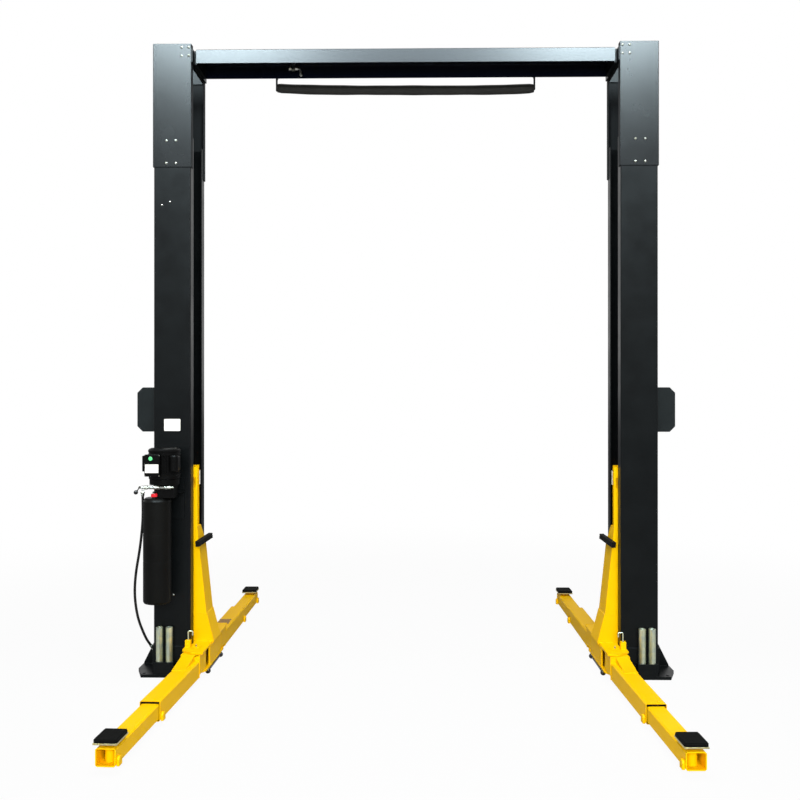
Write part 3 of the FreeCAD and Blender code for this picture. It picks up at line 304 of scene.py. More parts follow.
materials = {
    "columnCoat": powderCoat("charcoalPowderCoat", {
        "dark": "#080a0b", "light": "#0d1011", "pebble": 3.5, "cloud": 160, "roughness": 0.34,
        "relief": 0.10, "ior": 1.45, "specular": 0.14}),
    "coverCoat": powderCoat("greyPowderCoat", {
        "dark": "#15191a", "light": "#1d2223", "pebble": 3.5, "cloud": 120, "roughness": 0.4,
        "relief": 0.1, "ior": 1.45, "specular": 0.16}),
    "extensionCoat": powderCoat("satinPowderCoat", {
        "dark": "#0a0c0d", "light": "#111416", "pebble": 3.5, "cloud": 160, "roughness": 0.25,
        "relief": 0.05, "ior": 1.45, "specular": 0.24, "drift": 0.012, "skin": 0.186, "dullness": 0.45}),
    "beamCoat": powderCoat("smoothBlackPowderCoat", {
        "dark": "#04060f", "light": "#080c18", "pebble": 5, "cloud": 220, "roughness": 0.26,
        "relief": 0.05, "ior": 1.5, "specular": 0.31, "drift": 0.012}),
    "unitEnamel": powderCoat("blackMachineEnamel", {
        "dark": "#050505", "light": "#0a0a0a", "pebble": 4, "cloud": 90, "roughness": 0.32,
        "relief": 0.10, "ior": 1.45, "specular": 0.10}),
    "tankEnamel": powderCoat("sprayedTankEnamel", {
        "dark": "#060606", "light": "#0c0c0a", "pebble": 4, "cloud": 110, "roughness": 0.40,
        "relief": 0.12, "ior": 1.45, "specular": 0.12}),
    "armEnamel": glossEnamel("yellowMachineEnamel", {
        "colour": "#fbc702", "deep": "#f3bb02", "bare": "#a8791a", "peel": 6, "cloud": 140, "scuff": 60,
        "wornFrom": 0.72, "roughness": 0.5, "coat": 0.01, "specular": 0.07, "relief": 0.05}),
    "wornEnamel": glossEnamel("wornEnamel", {
        "colour": "#b98a2e", "deep": "#7d5f31", "bare": "#6b6058", "peel": 4, "cloud": 22, "scuff": 14,
        "wornFrom": 0.48, "roughness": 0.6, "coat": 0, "specular": 0.2, "relief": 0.2}),
    "zinc": platedSteel("brightZincPlate", {
        "cool": "#b4c0b6", "warm": "#d6d8b4", "grain": (1, 1, 0.05), "line": 2, "cloud": 45,
        "roughness": 0.34, "metallic": 0.9}),
    "fittingSteel": platedSteel("nickelPlatedSteel", {
        "cool": "#b9bbb6", "warm": "#94917f", "grain": (0.1, 1, 1), "line": 1.5, "cloud": 18,
        "roughness": 0.28, "metallic": 1}),
    "padSteel": platedSteel("yellowZincPlate", {
        "cool": "#b7b08e", "warm": "#d2bf7e", "grain": (1, 0.1, 1), "line": 2, "cloud": 30,
        "roughness": 0.42, "metallic": 0.85}),
    "rubber": mouldedRubber("mouldedRubber", {
        "dark": "#070706", "light": "#0f0f0e", "grain": 1.4, "bloom": 35, "roughness": 0.75,
        "specular": 0.06, "relief": 0.25}),
    "hoseRubber": mouldedRubber("hoseCoverRubber", {
        "dark": "#0a0a0a", "light": "#161615", "grain": 2, "bloom": 60, "roughness": 0.45,
        "specular": 0.25, "relief": 0.12}),
    "foam": mouldedRubber("closedCellFoam", {
        "dark": "#10100e", "light": "#1c1c19", "grain": 1.2, "bloom": 50, "roughness": 0.5,
        "specular": 0.4, "relief": 0.3}),
    "capPlastic": mouldedPlastic("redNylon", {
        "dark": "#d91622", "light": "#ee2b36", "grain": 0.8, "roughness": 0.35}),
    "buttonPlastic": mouldedPlastic("greenPolycarbonate", {
        "dark": "#45d673", "light": "#7ceaa0", "grain": 0.8, "roughness": 0.25}),
    "knobPlastic": mouldedPlastic("blackPhenolic", {
        "dark": "#080808", "light": "#101010", "grain": 1, "roughness": 0.22}),
    "slidePlastic": mouldedPlastic("naturalPolyamide", {
        "dark": "#d9d6c6", "light": "#eceade", "grain": 1, "roughness": 0.5}),
    "labelStock": mouldedPlastic("whitePolyesterSheet", {
        "dark": "#f3f2ea", "light": "#fcfbf4", "grain": 1.5, "roughness": 0.4}),
}
print("materials ready:", len(materials))


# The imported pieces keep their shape; they get a finish and rounded edges, in millimetres
cadDress = {
    "columns": ("columnCoat", 1.2), "base_plates": ("columnCoat", 1.5), "foot_brackets": ("columnCoat", 1.0),
    "height_adapters": ("zinc", 1.5), "lock_covers": ("coverCoat", 3.0),
    "height_extensions": ("extensionCoat", 1.0), "overhead_beam": ("beamCoat", 0.8),
    "beam_brackets": ("columnCoat", 1.2), "bar_pivots": ("columnCoat", 0.6),
    "safety_bar": ("columnCoat", 0.5), "motor": ("unitEnamel", 2.0),
    "control_box": ("unitEnamel", 2.5), "pump_block": ("unitEnamel", 1.5),
    "oil_tank": ("tankEnamel", 1.0), "unit_bracket": ("columnCoat", 1.0), "filler_cap": ("capPlastic", 1.0),
    "hydraulic_fittings": ("fittingSteel", 0.8), "lowering_lever": ("knobPlastic", 0.4),
}
for sideName in sides:
    cadDress[f"{sideName}_carriage"] = ("armEnamel", 1.5)
    cadDress[f"{sideName}_slider_blocks"] = ("slidePlastic", 1.5)
    cadDress[f"{sideName}_door_bumper"] = ("rubber", 2.0)
    cadDress[f"{sideName}_arm_pins"] = ("armEnamel", 1.2)
    cadDress[f"{sideName}_knob_rod"] = ("knobPlastic", 0.5)
for sideName, endName in arms:
    cadDress[f"{sideName}_{endName}_arm"] = ("armEnamel", 1.8)
    cadDress[f"{sideName}_{endName}_inner_arm"] = ("armEnamel", 1.8)
    cadDress[f"{sideName}_{endName}_pad_plate"] = ("padSteel", 1.0)
    cadDress[f"{sideName}_{endName}_pad"] = ("rubber", 2.0)
    cadDress[f"{sideName}_{endName}_restraint"] = ("zinc", 0.3)
edgeSetup = {"weld": 0.00002, "flatAngle": 0.6, "cornerAngle": 38, "segments": 2}


def levelShading(piece):
    # Keeps the large faces flat, so that only their rounded edges turn the light
    shading = piece.modifiers.new("shading", "WEIGHTED_NORMAL")
    shading.mode = "FACE_AREA"
    shading.weight = 100
    shading.keep_sharp = True


for nodeName, (finish, edge) in cadDress.items():
    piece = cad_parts[nodeName]
    piece.data.materials.clear()
    piece.data.materials.append(materials[finish])
    for face in piece.data.polygons:
        face.material_index = 0
        face.use_smooth = True
    weld = piece.modifiers.new("weld", "WELD")
    weld.merge_threshold = edgeSetup["weld"]
    flat = piece.modifiers.new("flat", "DECIMATE")
    flat.decimate_type = "DISSOLVE"
    flat.angle_limit = math.radians(edgeSetup["flatAngle"])
    soft = piece.modifiers.new("edges", "BEVEL")
    soft.width = edge / 1000
    soft.segments = edgeSetup["segments"]
    soft.limit_method = "ANGLE"
    soft.angle_limit = math.radians(edgeSetup["cornerAngle"])
    soft.use_clamp_overlap = True
    levelShading(piece)
hoseCurve.materials.append(materials["hoseRubber"])
print("packed pieces dressed")


def newPiece(name, bm, finish, body, smoothAngle=35):
    mesh = bpy.data.meshes.new(name)
    bmesh.ops.recalc_face_normals(bm, faces=bm.faces)
    bm.to_mesh(mesh)
    bm.free()
    mesh.materials.append(materials[finish])
    for face in mesh.polygons:
        face.use_smooth = True
    mesh.set_sharp_from_angle(angle=math.radians(smoothAngle))
    piece = bpy.data.objects.new(name, mesh)
    scene.collection.objects.link(piece)
    levelShading(piece)
    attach(piece, body)
    return piece


def joinRings(bm, rings):
    # Skins a row of rings that have the same count of points, and closes both ends
    for low, high in zip(rings, rings[1:]):
        for i in range(len(low)):
            j = (i + 1) % len(low)
            bm.faces.new((low[i], low[j], high[j], high[i]))
    bm.faces.new(rings[0])
    bm.faces.new(rings[-1])


def spin(bm, profile, centre, axis, steps, start=0.0):
    # Turns (radius, height) pairs about an axis through centre
    aim = Vector(axis).normalized().to_track_quat("Z", "Y").to_matrix()
    rings = []
    for radius, height in profile:
        ring = []
        if radius < 1e-6:
            ring = [bm.verts.new(Vector(centre) + aim @ Vector((0, 0, height)))]
        else:
            for i in range(steps):
                angle = start + 2 * math.pi * i / steps
                spoke = Vector((radius * math.cos(angle), radius * math.sin(angle), height))
                ring.append(bm.verts.new(Vector(centre) + aim @ spoke))
        rings.append(ring)
    for low, high in zip(rings, rings[1:]):
        for i in range(steps):
            j = (i + 1) % steps
            corners = [low[i % len(low)], low[j % len(low)], high[j % len(high)], high[i % len(high)]]
            bm.faces.new(list(dict.fromkeys(corners)))
    for ring in (rings[0], rings[-1]):
        if len(ring) > 1:
            bm.faces.new(ring)


def extrude(bm, outline, depth, turnBy=None, chamfer=0.0, segments=2):
    # Raises a flat outline by depth, with its edges rounded; turnBy is the matrix that places it
    low = [bm.verts.new((x, y, 0)) for x, y in outline]
    high = [bm.verts.new((x, y, depth)) for x, y in outline]
    count = len(outline)
    faces = [bm.faces.new(low[::-1]), bm.faces.new(high)]
    for i in range(count):
        j = (i + 1) % count
        faces.append(bm.faces.new((low[i], low[j], high[j], high[i])))
    verts = low + high
    if chamfer:
        edges = list({edge for face in faces for edge in face.edges})
        made = bmesh.ops.bevel(bm, geom=edges, offset=chamfer, segments=segments, affect="EDGES", profile=0.5)
        verts = [v for v in made["verts"] if v.is_valid] + [v for v in verts if v.is_valid]
        verts = list(dict.fromkeys(verts))
    if turnBy is not None:
        bmesh.ops.transform(bm, matrix=turnBy, verts=verts)


def upright(y):
    # Stands a flat outline up in X and Z, to be raised from y towards the front
    return Matrix(((1, 0, 0, 0), (0, 0, -1, y), (0, 1, 0, 0), (0, 0, 0, 1)))


def hexBolt(bm, place, normal, across, height, washer):
    # A hexagon head with a chamfered crown on a flat washer
    r, thick, edge = washer / 2, 0.0024, 0.0004
    spin(bm, [(r - edge, 0), (r, edge), (r, thick - edge), (r - edge, thick)], place, normal, 28)
    corner = across / 2 / math.cos(math.pi / 6)
    spin(bm, [(corner, thick), (corner, height - 0.0012), (across / 2 - 0.0006, height), (0.0001, height)],
         place, normal, 6)


def domeBolt(bm, place, normal, across, height):
    # A round button head, as it shows from the front
    rise = [(across / 2 * math.cos(a), height * 0.25 + height * 0.75 * math.sin(a))
            for a in [math.radians(15 * i) for i in range(6)]]
    rim = across / 2 * 1.08
    spin(bm, [(rim, 0), (rim, height * 0.2)] + rise + [(0, height)], place, normal, 20)


def sweep(bm, path, radius, steps=14):
    # Draws a round rod along a path; radius is one number or one for each point
    side = None
    rings = []
    for i, point in enumerate(path):
        ahead = (path[min(i + 1, len(path) - 1)] - path[max(i - 1, 0)]).normalized()
        side = side or ahead.orthogonal()
        side = (side - ahead * side.dot(ahead)).normalized()
        up = ahead.cross(side)
        size = radius[i] if isinstance(radius, list) else radius
        rings.append([bm.verts.new(point + (side * math.cos(a) + up * math.sin(a)) * size)
                      for a in [2 * math.pi * j / steps for j in range(steps)]])
    joinRings(bm, rings)


def bendRod(points, reach, steps=5):
    # Rounds the bends of a bent rod
    points = [Vector(p) for p in points]
    path = [points[0]]
    for before, corner, after in zip(points, points[1:], points[2:]):
        start = corner + (before - corner).normalized() * reach
        end = corner + (after - corner).normalized() * reach
        for i in range(steps + 1):
            t = i / steps
            path.append(start * (1 - t) ** 2 + corner * 2 * t * (1 - t) + end * t ** 2)
    return path + [points[-1]]


def weldBead(bm, start, end, size):
    # A rippled bead from start to end
    start, end = Vector(start), Vector(end)
    pitch = 0.005
    count = max(4, int((end - start).length / pitch))
    path = [start.lerp(end, i / count) for i in range(count + 1)]
    ripple = [0.8 + 0.2 * abs(math.sin(1.9 * i)) + random.uniform(-0.05, 0.05) for i in range(count + 1)]
    widths = [size * share for share in ripple]
    widths[0] = widths[-1] = size * 0.4
    sweep(bm, path, widths, 8)


def ball(bm, centre, radius, steps=20, rows=12):
    # A smooth ball, turned from a half circle
    turns = [math.pi * i / rows for i in range(rows + 1)]
    profile = [(radius * math.sin(a), -radius * math.cos(a)) for a in turns]
    profile[0] = (0, -radius)
    profile[-1] = (0, radius)
    spin(bm, profile, centre, (0, 0, 1), steps)


def ribbedRing(bm, levels, centre, ribs, depth):
    # A turned form whose wall carries ribs: levels are (radius, height, ribbed)
    rings = []
    for radius, height, ribbed in levels:
        ring = []
        for i in range(ribs * 4):
            size = radius - (depth if ribbed and i % 4 in (2, 3) else 0)
            angle = 2 * math.pi * (i + (0.25 if i % 2 else 0)) / (ribs * 4)
            ring.append(bm.verts.new((centre[0] + size * math.cos(angle), centre[1] + size * math.sin(angle),
                                      centre[2] + height)))
        rings.append(ring)
    joinRings(bm, rings)


def softBlock(bm, low, high, edge):
    # A block between two corners with rounded edges
    outline = [(low[0], low[1]), (high[0], low[1]), (high[0], high[1]), (low[0], high[1])]
    extrude(bm, outline, high[2] - low[2], Matrix.Translation((0, 0, low[2])), edge, 3)


def cutCorners(x0, z0, x1, z1, cut):
    # The outline of a plate with its corners cut off
    return [(x0 + cut, z0), (x1 - cut, z0), (x1, z0 + cut), (x1, z1 - cut), (x1 - cut, z1), (x0 + cut, z1),
            (x0, z1 - cut), (x0, z0 + cut)]


def mirrored(bm, side):
    # Keeps a piece drawn on the left where it is, or mirrors it to the right
    if side == "right":
        bmesh.ops.transform(bm, matrix=Matrix.Diagonal((-1, 1, 1, 1)), verts=bm.verts)
        bmesh.ops.reverse_faces(bm, faces=bm.faces)
    return bm


# Round headed bolts that hold the extensions to the columns and the beam to the extensions
boltSetup = {"across": 0.0155, "height": 0.007, "face": 0.1893,
             "sleeve": [(1.450, 3.385), (1.511, 3.385), (1.450, 3.243), (1.511, 3.243)],
             "beam": [(1.369, 3.977), (1.414, 3.977), (1.369, 3.924), (1.414, 3.924)],
             "plugs": [(-1.541, 2.978), (-1.489, 3.000), (-1.465, 0.509)],
             "plugAcross": 0.011, "plugHeight": 0.004, "columnFace": 0.184}

bm = bmesh.new()
b = boltSetup
for side in (-1, 1):
    for x, z in b["sleeve"] + b["beam"]:
        for end in (-1, 1):
            domeBolt(bm, (side * x, end * b["face"], z), (0, end, 0), b["across"], b["height"])
for x, z in b["plugs"]:
    domeBolt(bm, (x, -b["columnFace"], z), (0, -1, 0), b["plugAcross"], b["plugHeight"])
bolts = newPiece("extensionBolts", bm, "fittingSteel", "frame", 30)
print("bolts made")


# Foam sleeve on the safety bar, sagging between its ends and most towards the right
foamSetup = {"half": 0.856, "radius": 0.0308, "y": 0.126, "z": 3.827, "sag": 0.013, "slope": 0.005,
             "rings": 60, "steps": 40}


def foamSleeve(setup):
    bm = bmesh.new()
    rows = []
    rings = setup["rings"]
    turns = [2 * math.pi * j / setup["steps"] for j in range(setup["steps"])]
    for i in range(rings + 1):
        along = -1 + 2 * i / rings
        x = setup["half"] * along
        drop = setup["sag"] * (1 - along ** 4) + setup["slope"] * (1 + along)
        waves = 0.0008 * math.sin(9 * along + 1) + 0.0005 * math.sin(23 * along)
        edge = min(1.0, (1 - abs(along)) * 60)  # draws in the two end rings
        radius = (setup["radius"] + waves) * (0.86 + 0.14 * math.sqrt(max(0.0, 1 - (1 - edge) ** 2)))
        y, z = setup["y"], setup["z"] - drop
        rows.append([bm.verts.new((x, y + radius * math.cos(a), z + radius * math.sin(a))) for a in turns])
    joinRings(bm, rows)
    return bm


foam = newPiece("foamSleeve", foamSleeve(foamSetup), "foam", "safety_bar_body")
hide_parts("safety_bar_padding")

# Straps beside the foam, from the bar up to its hinges
strapSetup = {"gap": 0.003, "half": 0.0055, "deep": 0.008, "below": 0.02, "above": 0.006, "hinge": 3.897,
              "edge": 0.002}

bm = bmesh.new()
s = strapSetup
for side in (-1, 1):
    x, y = side * (foamSetup["half"] + s["gap"]), foamSetup["y"]
    softBlock(bm, (x - s["half"], y - s["deep"], foamSetup["z"] - s["below"]),
              (x + s["half"], y + s["deep"], s["hinge"] + s["above"]), s["edge"])
straps = newPiece("barStraps", bm, "columnCoat", "safety_bar_body")
print("foam sleeve made")


# Rubber lifting pads with a ribbed top
padSetup = {"pivot": (1.310, 0.230), "reach": 1.370, "width": 0.115, "length": 0.150, "corner": 0.012,
            "low": 0.150, "deck": 0.1645, "top": 0.1680, "ribs": 13, "border": 0.005, "ribShare": 0.33,
            "lean": {"left": 2.6, "right": 1.7}}


def armTurn(sideName, endName):
    # Turns a piece drawn from the pivot along -Y into its arm's place
    side = -1 if sideName == "left" else 1
    end = -1 if endName == "front" else 1
    lean = padSetup["lean"][sideName] if endName == "front" else 0
    angle = math.radians(side * lean if endName == "front" else 180 - side * lean)
    turned = Matrix.Rotation(angle, 4, "Z")
    turned.translation = Vector((side * padSetup["pivot"][0], end * padSetup["pivot"][1], 0))
    return turned


def ribbedPad(setup):
    bm = bmesh.new()
    w, l, c = setup["width"] / 2, setup["length"] / 2, setup["corner"]
    shift = Matrix.Translation((0, -setup["reach"], setup["low"]))
    extrude(bm, cutCorners(-w, -l, w, l, c), setup["deck"] - setup["low"], shift, 0.002)
    pitch = (setup["length"] - 2 * setup["border"]) / setup["ribs"]
    wide = pitch * setup["ribShare"]
    shift = Matrix.Translation((0, -setup["reach"], setup["deck"] - 0.001))
    for i in range(setup["ribs"]):
        y = -l + setup["border"] + pitch * (i + 0.5)
        half = w - 0.003 - max(0.0, abs(y) + c - l)
        rib = [(-half, y - wide), (half, y - wide), (half, y + wide), (-half, y + wide)]
        extrude(bm, rib, setup["top"] - setup["deck"] + 0.001, shift, 0.0012)
    return bm


for sideName, endName in arms:
    bm = ribbedPad(padSetup)
    bmesh.ops.transform(bm, matrix=armTurn(sideName, endName), verts=bm.verts)
    pad = newPiece(f"{sideName}{endName.title()}LiftPad", bm, "rubber", f"{sideName}_{endName}_pad_body")
    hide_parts(f"{sideName}_{endName}_pad")
print("lifting pads made")


# Welds, stop lugs, screws and mouth seals of the arms
armTrim = {"headHalf": 0.0575, "headEnd": 0.1255, "headWeld": (0.036, 0.134), "weld": 0.0028,
           "topWeld": (-0.052, 0.028), "topWeldFar": 0.3255, "topWeldHeight": 0.1412,
           "lugs": [(0.056, 0.829, 0.030), (0.049, 1.425, 0.037)], "lugSize": (0.0135, 0.041, 0.044),
           "screws": [(-0.022, 0.815), (0.018, 0.815)], "top": 0.141, "sealFaces": (-0.8388, -0.8398),
           "sealOuter": (0.0518, 0.0345, 0.1362), "sealInner": (0.0492, 0.0368, 0.1256)}


def makeArmTrim(sideName, endName):
    bay = 1 if (sideName == "left") == (endName == "front") else -1
    turned = armTurn(sideName, endName)
    trim = armTrim
    outer, inner = bmesh.new(), bmesh.new()
    low, high = trim["headWeld"]
    for side in (-1, 1):
        x, y = side * trim["headHalf"], -trim["headEnd"]
        weldBead(outer, (x, y, low), (x, y, high), trim["weld"])
    low, high = [x * bay for x in trim["topWeld"]]
    y, z = -trim["topWeldFar"], trim["topWeldHeight"]
    weldBead(outer, (low, y, z), (high, y, z), trim["weld"])
    wide, long, tall = trim["lugSize"]
    for target, (half, far, bottom) in zip((outer, inner), trim["lugs"]):
        outline = [(0, 0), (long, 0), (long, tall * 0.7), (long * 0.8, tall * 0.94), (long * 0.5, tall),
                   (long * 0.2, tall * 0.94), (0, tall * 0.7)]
        place = Matrix(((0, 0, bay, bay * (half - 0.001)), (bay, 0, 0, -far if bay > 0 else -far + long),
                        (0, 1, 0, bottom + 0.001), (0, 0, 0, 1)))
        extrude(target, outline, wide, place, 0.0035, 3)
    screw = [(0.0045, 0), (0.0045, 0.0016), (0.0038, 0.0022), (0.0018, 0.0022), (0.0016, 0.0008), (0, 0.0008)]
    for x, y in trim["screws"]:
        spin(outer, screw, (x, -y, trim["top"]), (0, 0, 1), 18)
    seal = bmesh.new()
    loops = [[seal.verts.new((x, y, z)) for x, z in ((-half, low), (half, low), (half, high), (-half, high))]
             for y in trim["sealFaces"] for half, low, high in (trim["sealOuter"], trim["sealInner"])]
    for i in range(4):
        j = (i + 1) % 4
        for a, b in ((0, 1), (1, 3), (3, 2), (2, 0)):
            seal.faces.new((loops[a][i], loops[a][j], loops[b][j], loops[b][i]))
    bmesh.ops.transform(seal, matrix=turned, verts=seal.verts)
    made = newPiece(f"{sideName}{endName.title()}MouthSeal", seal, "rubber", f"{sideName}_{endName}_arm_body")
    for kind, label, bm in (("arm", "OuterTrim", outer), ("inner_arm", "InnerTrim", inner)):
        bmesh.ops.transform(bm, matrix=turned, verts=bm.verts)
        made = newPiece(f"{sideName}{endName.title()}{label}", bm, "armEnamel",
                        f"{sideName}_{endName}_{kind}_body", 40)


for sideName, endName in arms:
    makeArmTrim(sideName, endName)

# Bare, brown patch on top of the left rear arm, where the paint has been rubbed off
wornPatch = {"x": -1.316, "y": 0.600, "z": 0.1409, "wide": 0.084, "long": 0.150, "thick": 0.0003,
             "points": 34, "ragged": (-0.14, 0.08)}

bm = bmesh.new()
outline = []
for i in range(wornPatch["points"]):
    angle = 2 * math.pi * i / wornPatch["points"]
    reach = 1 + random.uniform(*wornPatch["ragged"])
    squareness = max(abs(math.cos(angle)), abs(math.sin(angle)))
    outline.append((wornPatch["wide"] / 2 * reach * math.cos(angle) / squareness,
                    wornPatch["long"] / 2 * reach * math.sin(angle) / squareness))
place = Matrix.Translation((wornPatch["x"], wornPatch["y"], wornPatch["z"]))
extrude(bm, outline, wornPatch["thick"], place)
patch = newPiece("wornPatch", bm, "wornEnamel", "left_rear_arm_body")
print("arm trim made")


# Bent wire pulls that lift the arm locks
pullSetup = {"x": 1.360, "y": 0.230, "foot": 0.186, "top": 0.291, "reach": 0.028, "end": 0.264, "bend": 0.010,
             "radius": 0.0044}

for sideName, endName in arms:
    y = pullSetup["y"] * (-1 if endName == "front" else 1)
    x = -pullSetup["x"]
    over = x + pullSetup["reach"]
    bm = bmesh.new()
    path = bendRod([(x, y, pullSetup["foot"]), (x, y, pullSetup["top"]), (over, y, pullSetup["top"]),
                    (over, y, pullSetup["end"])], pullSetup["bend"])
    sweep(bm, path, pullSetup["radius"], 16)
    pull = newPiece(f"{sideName}{endName.title()}LockPull", mirrored(bm, sideName), "zinc",
                    f"{sideName}_{endName}_restraint_body", 50)
    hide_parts(f"{sideName}_{endName}_restraint")
print("lock pulls made")


# Rods with ball knobs under the bay edge of each carriage
knobRod = {"x": -1.248, "z": 0.0265, "half": 0.178, "middle": 0.06, "radius": 0.0065, "ball": 0.0175,
           "clip": 0.110, "clipHalf": 0.006, "clipThick": 0.0052, "under": 0.045}


def makeKnobRod(sideName):
    r = knobRod
    x, z = r["x"], r["z"]
    bm = bmesh.new()
    path = [Vector((x, y, z)) for y in (-r["half"], -r["middle"], r["middle"], r["half"])]
    sweep(bm, path, r["radius"], 16)
    for end in (-1, 1):
        ball(bm, (x, end * r["half"], z), r["ball"])
        neck = (x, end * (r["half"] - 0.012), z)
        spin(bm, [(0.0085, 0), (0.0075, 0.006), (0.0062, 0.010)], neck, (0, -end, 0), 16)
        clip = end * r["clip"]
        softBlock(bm, (x - r["clipThick"], clip - r["clipHalf"], z - 0.0055),
                  (x + r["clipThick"], clip + r["clipHalf"], r["under"] - 0.0003), 0.0012)
    rod = newPiece(f"{sideName}KnobRod", mirrored(bm, sideName), "knobPlastic",
                   f"{sideName}_carriage_body", 40)
    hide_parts(f"{sideName}_knob_rod")


for sideName in sides:
    makeKnobRod(sideName)
print("knob rods made")


# Ribbed rubber bumpers for car doors, on the slope of each carriage gusset
bumper = {"foot": 1.3255, "head": 1.3291, "low": 0.812, "high": 0.846, "deep": 0.026, "half": 0.185,
          "ribs": 3, "rib": ((0.02, 0.84), (0.14, 0.96), (0.32, 1), (0.68, 1), (0.86, 0.96), (0.98, 0.84))}


def makeBumper(sideName):
    b = bumper
    bm = bmesh.new()
    lean = (b["head"] - b["foot"]) / (b["high"] - b["low"])
    outline = [(-b["head"], b["high"]), (-b["foot"], b["low"])]
    pitch = (b["high"] - b["low"]) / b["ribs"]
    for i in range(b["ribs"]):
        for share, depth in b["rib"]:
            z = b["low"] + pitch * (i + share)
            outline.append((-(b["foot"] + lean * (z - b["low"]) - b["deep"] * depth), z))
    extrude(bm, outline, 2 * b["half"], upright(b["half"]))
    made = newPiece(f"{sideName}DoorBumper", mirrored(bm, sideName), "rubber",
                    f"{sideName}_carriage_body", 30)
    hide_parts(f"{sideName}_door_bumper")


for sideName in sides:
    makeBumper(sideName)
print("door bumpers made")


# Welds on the carriages, with a stiffening plate on the foot of the gusset and a nipple in each pin
carriageTrim = {"knee": (1.279, 0.371), "foot": (1.233, 0.190), "half": 0.090, "plate": 0.004,
                "plateOver": 0.003, "weld": 0.0026, "column": 1.337, "yokeEdge": 1.2398, "yokeHalf": 0.155,
                "yokeWelds": (0.0577, 0.1775), "pins": (1.310, 0.230, 0.195)}


def makeCarriageTrim(sideName):
    t = carriageTrim
    bm = bmesh.new()
    kneeX, kneeZ = t["knee"]
    footX, footZ = t["foot"]
    low = footZ + 0.0005
    outline = [(-kneeX - 0.002, kneeZ), (-footX - 0.002, low), (-footX + t["plate"], low),
               (-kneeX + t["plate"], kneeZ - 0.004), (-kneeX, kneeZ)]
    extrude(bm, outline, 2 * (t["half"] + t["plateOver"]), upright(t["half"] + t["plateOver"]), 0.0008)
    for side in (-1, 1):
        y = side * (t["half"] + 0.0006)
        weldBead(bm, (-kneeX - 0.001, y, kneeZ), (-t["column"], y, kneeZ), t["weld"] * 0.7)
        weldBead(bm, (-footX, y, footZ + 0.001), (-t["column"], y, footZ + 0.001), t["weld"])
    for z in t["yokeWelds"]:
        weldBead(bm, (-t["yokeEdge"], -t["yokeHalf"], z), (-t["yokeEdge"], t["yokeHalf"], z), t["weld"])
    made = newPiece(f"{sideName}CarriageTrim", mirrored(bm, sideName), "armEnamel",
                    f"{sideName}_carriage_body", 40)
    nipples = bmesh.new()
    x, y, z = t["pins"]
    nipple = [(0.0024, 0.006), (0.0024, 0.010), (0.0032, 0.0115), (0.0022, 0.0135), (0, 0.014)]
    for end in (-1, 1):
        hexBolt(nipples, (-x, end * y, z - 0.0015), (0, 0, 1), 0.010, 0.0075, 0.013)
        spin(nipples, nipple, (-x, end * y, z), (0, 0, 1), 14)
    made = newPiece(f"{sideName}PinNipples", mirrored(nipples, sideName), "fittingSteel",
                    f"{sideName}_carriage_body", 40)


for sideName in sides:
    makeCarriageTrim(sideName)
print("carriage trim made")


# Welds round the collar at the foot of each column and along its gusset
footTrim = {"outer": 1.592, "inner": 1.358, "half": 0.184, "top": 0.184, "collar": 0.006,
            "collarFoot": 0.0212, "gusset": 0.007, "gussetRise": (0.03, 0.235), "gussetFoot": 1.705,
            "plateTop": 0.021, "weld": 0.0032}

bm = bmesh.new()
f = footTrim
wall = f["outer"] + f["collar"]
low, high = f["gussetRise"]
for side in (-1, 1):
    outer, inner = side * f["outer"], side * f["inner"]
    for end in (-1, 1):
        y = end * (f["half"] + 0.002)
        weldBead(bm, (outer, y, f["top"]), (inner, y, f["top"]), f["weld"])
        y = end * f["gusset"]
        weldBead(bm, (side * wall, y, low), (side * wall, y, high), f["weld"])
        start, finish = side * (wall + 0.002), side * f["gussetFoot"]
        weldBead(bm, (start, y, f["plateTop"]), (finish, y, f["plateTop"]), f["weld"])
        y = end * (f["half"] + f["collar"] + 0.001)
        weldBead(bm, (outer, y, f["collarFoot"]), (inner, y, f["collarFoot"]), f["weld"])
    x = side * (f["outer"] + 0.002)
    weldBead(bm, (x, -f["half"], f["top"]), (x, f["half"], f["top"]), f["weld"])
trim = newPiece("footWelds", bm, "columnCoat", "frame", 40)
print("foot welds made")


# Blank plate on the front of the left column
plateSetup = {"low": (-1.526, 1.546), "high": (-1.422, 1.622), "face": -0.184, "thick": 0.0012,
              "corner": 0.004, "sunk": 0.0002}

bm = bmesh.new()
outline = cutCorners(*plateSetup["low"], *plateSetup["high"], plateSetup["corner"])
extrude(bm, outline, plateSetup["thick"], upright(plateSetup["face"] - plateSetup["sunk"]), 0.0004)
plate = newPiece("columnPlate", bm, "labelStock", "frame")
print("blank plate made")


# Motor: end bells, a finned shell, a top cover with three bolts, and the capacitor cover
motorSetup = {"x": -1.487, "y": -0.310, "low": 1.2535, "radius": 0.098, "height": 0.1935, "fins": 44,
              "finDepth": 0.0045, "bolts": [(-1.452, -0.368), (-1.412, -0.335), (-1.552, -0.300)],
              "boltLow": 0.184, "can": (-1.412, -0.375, 1.306), "canRadius": 0.0298, "canHeight": 0.100}


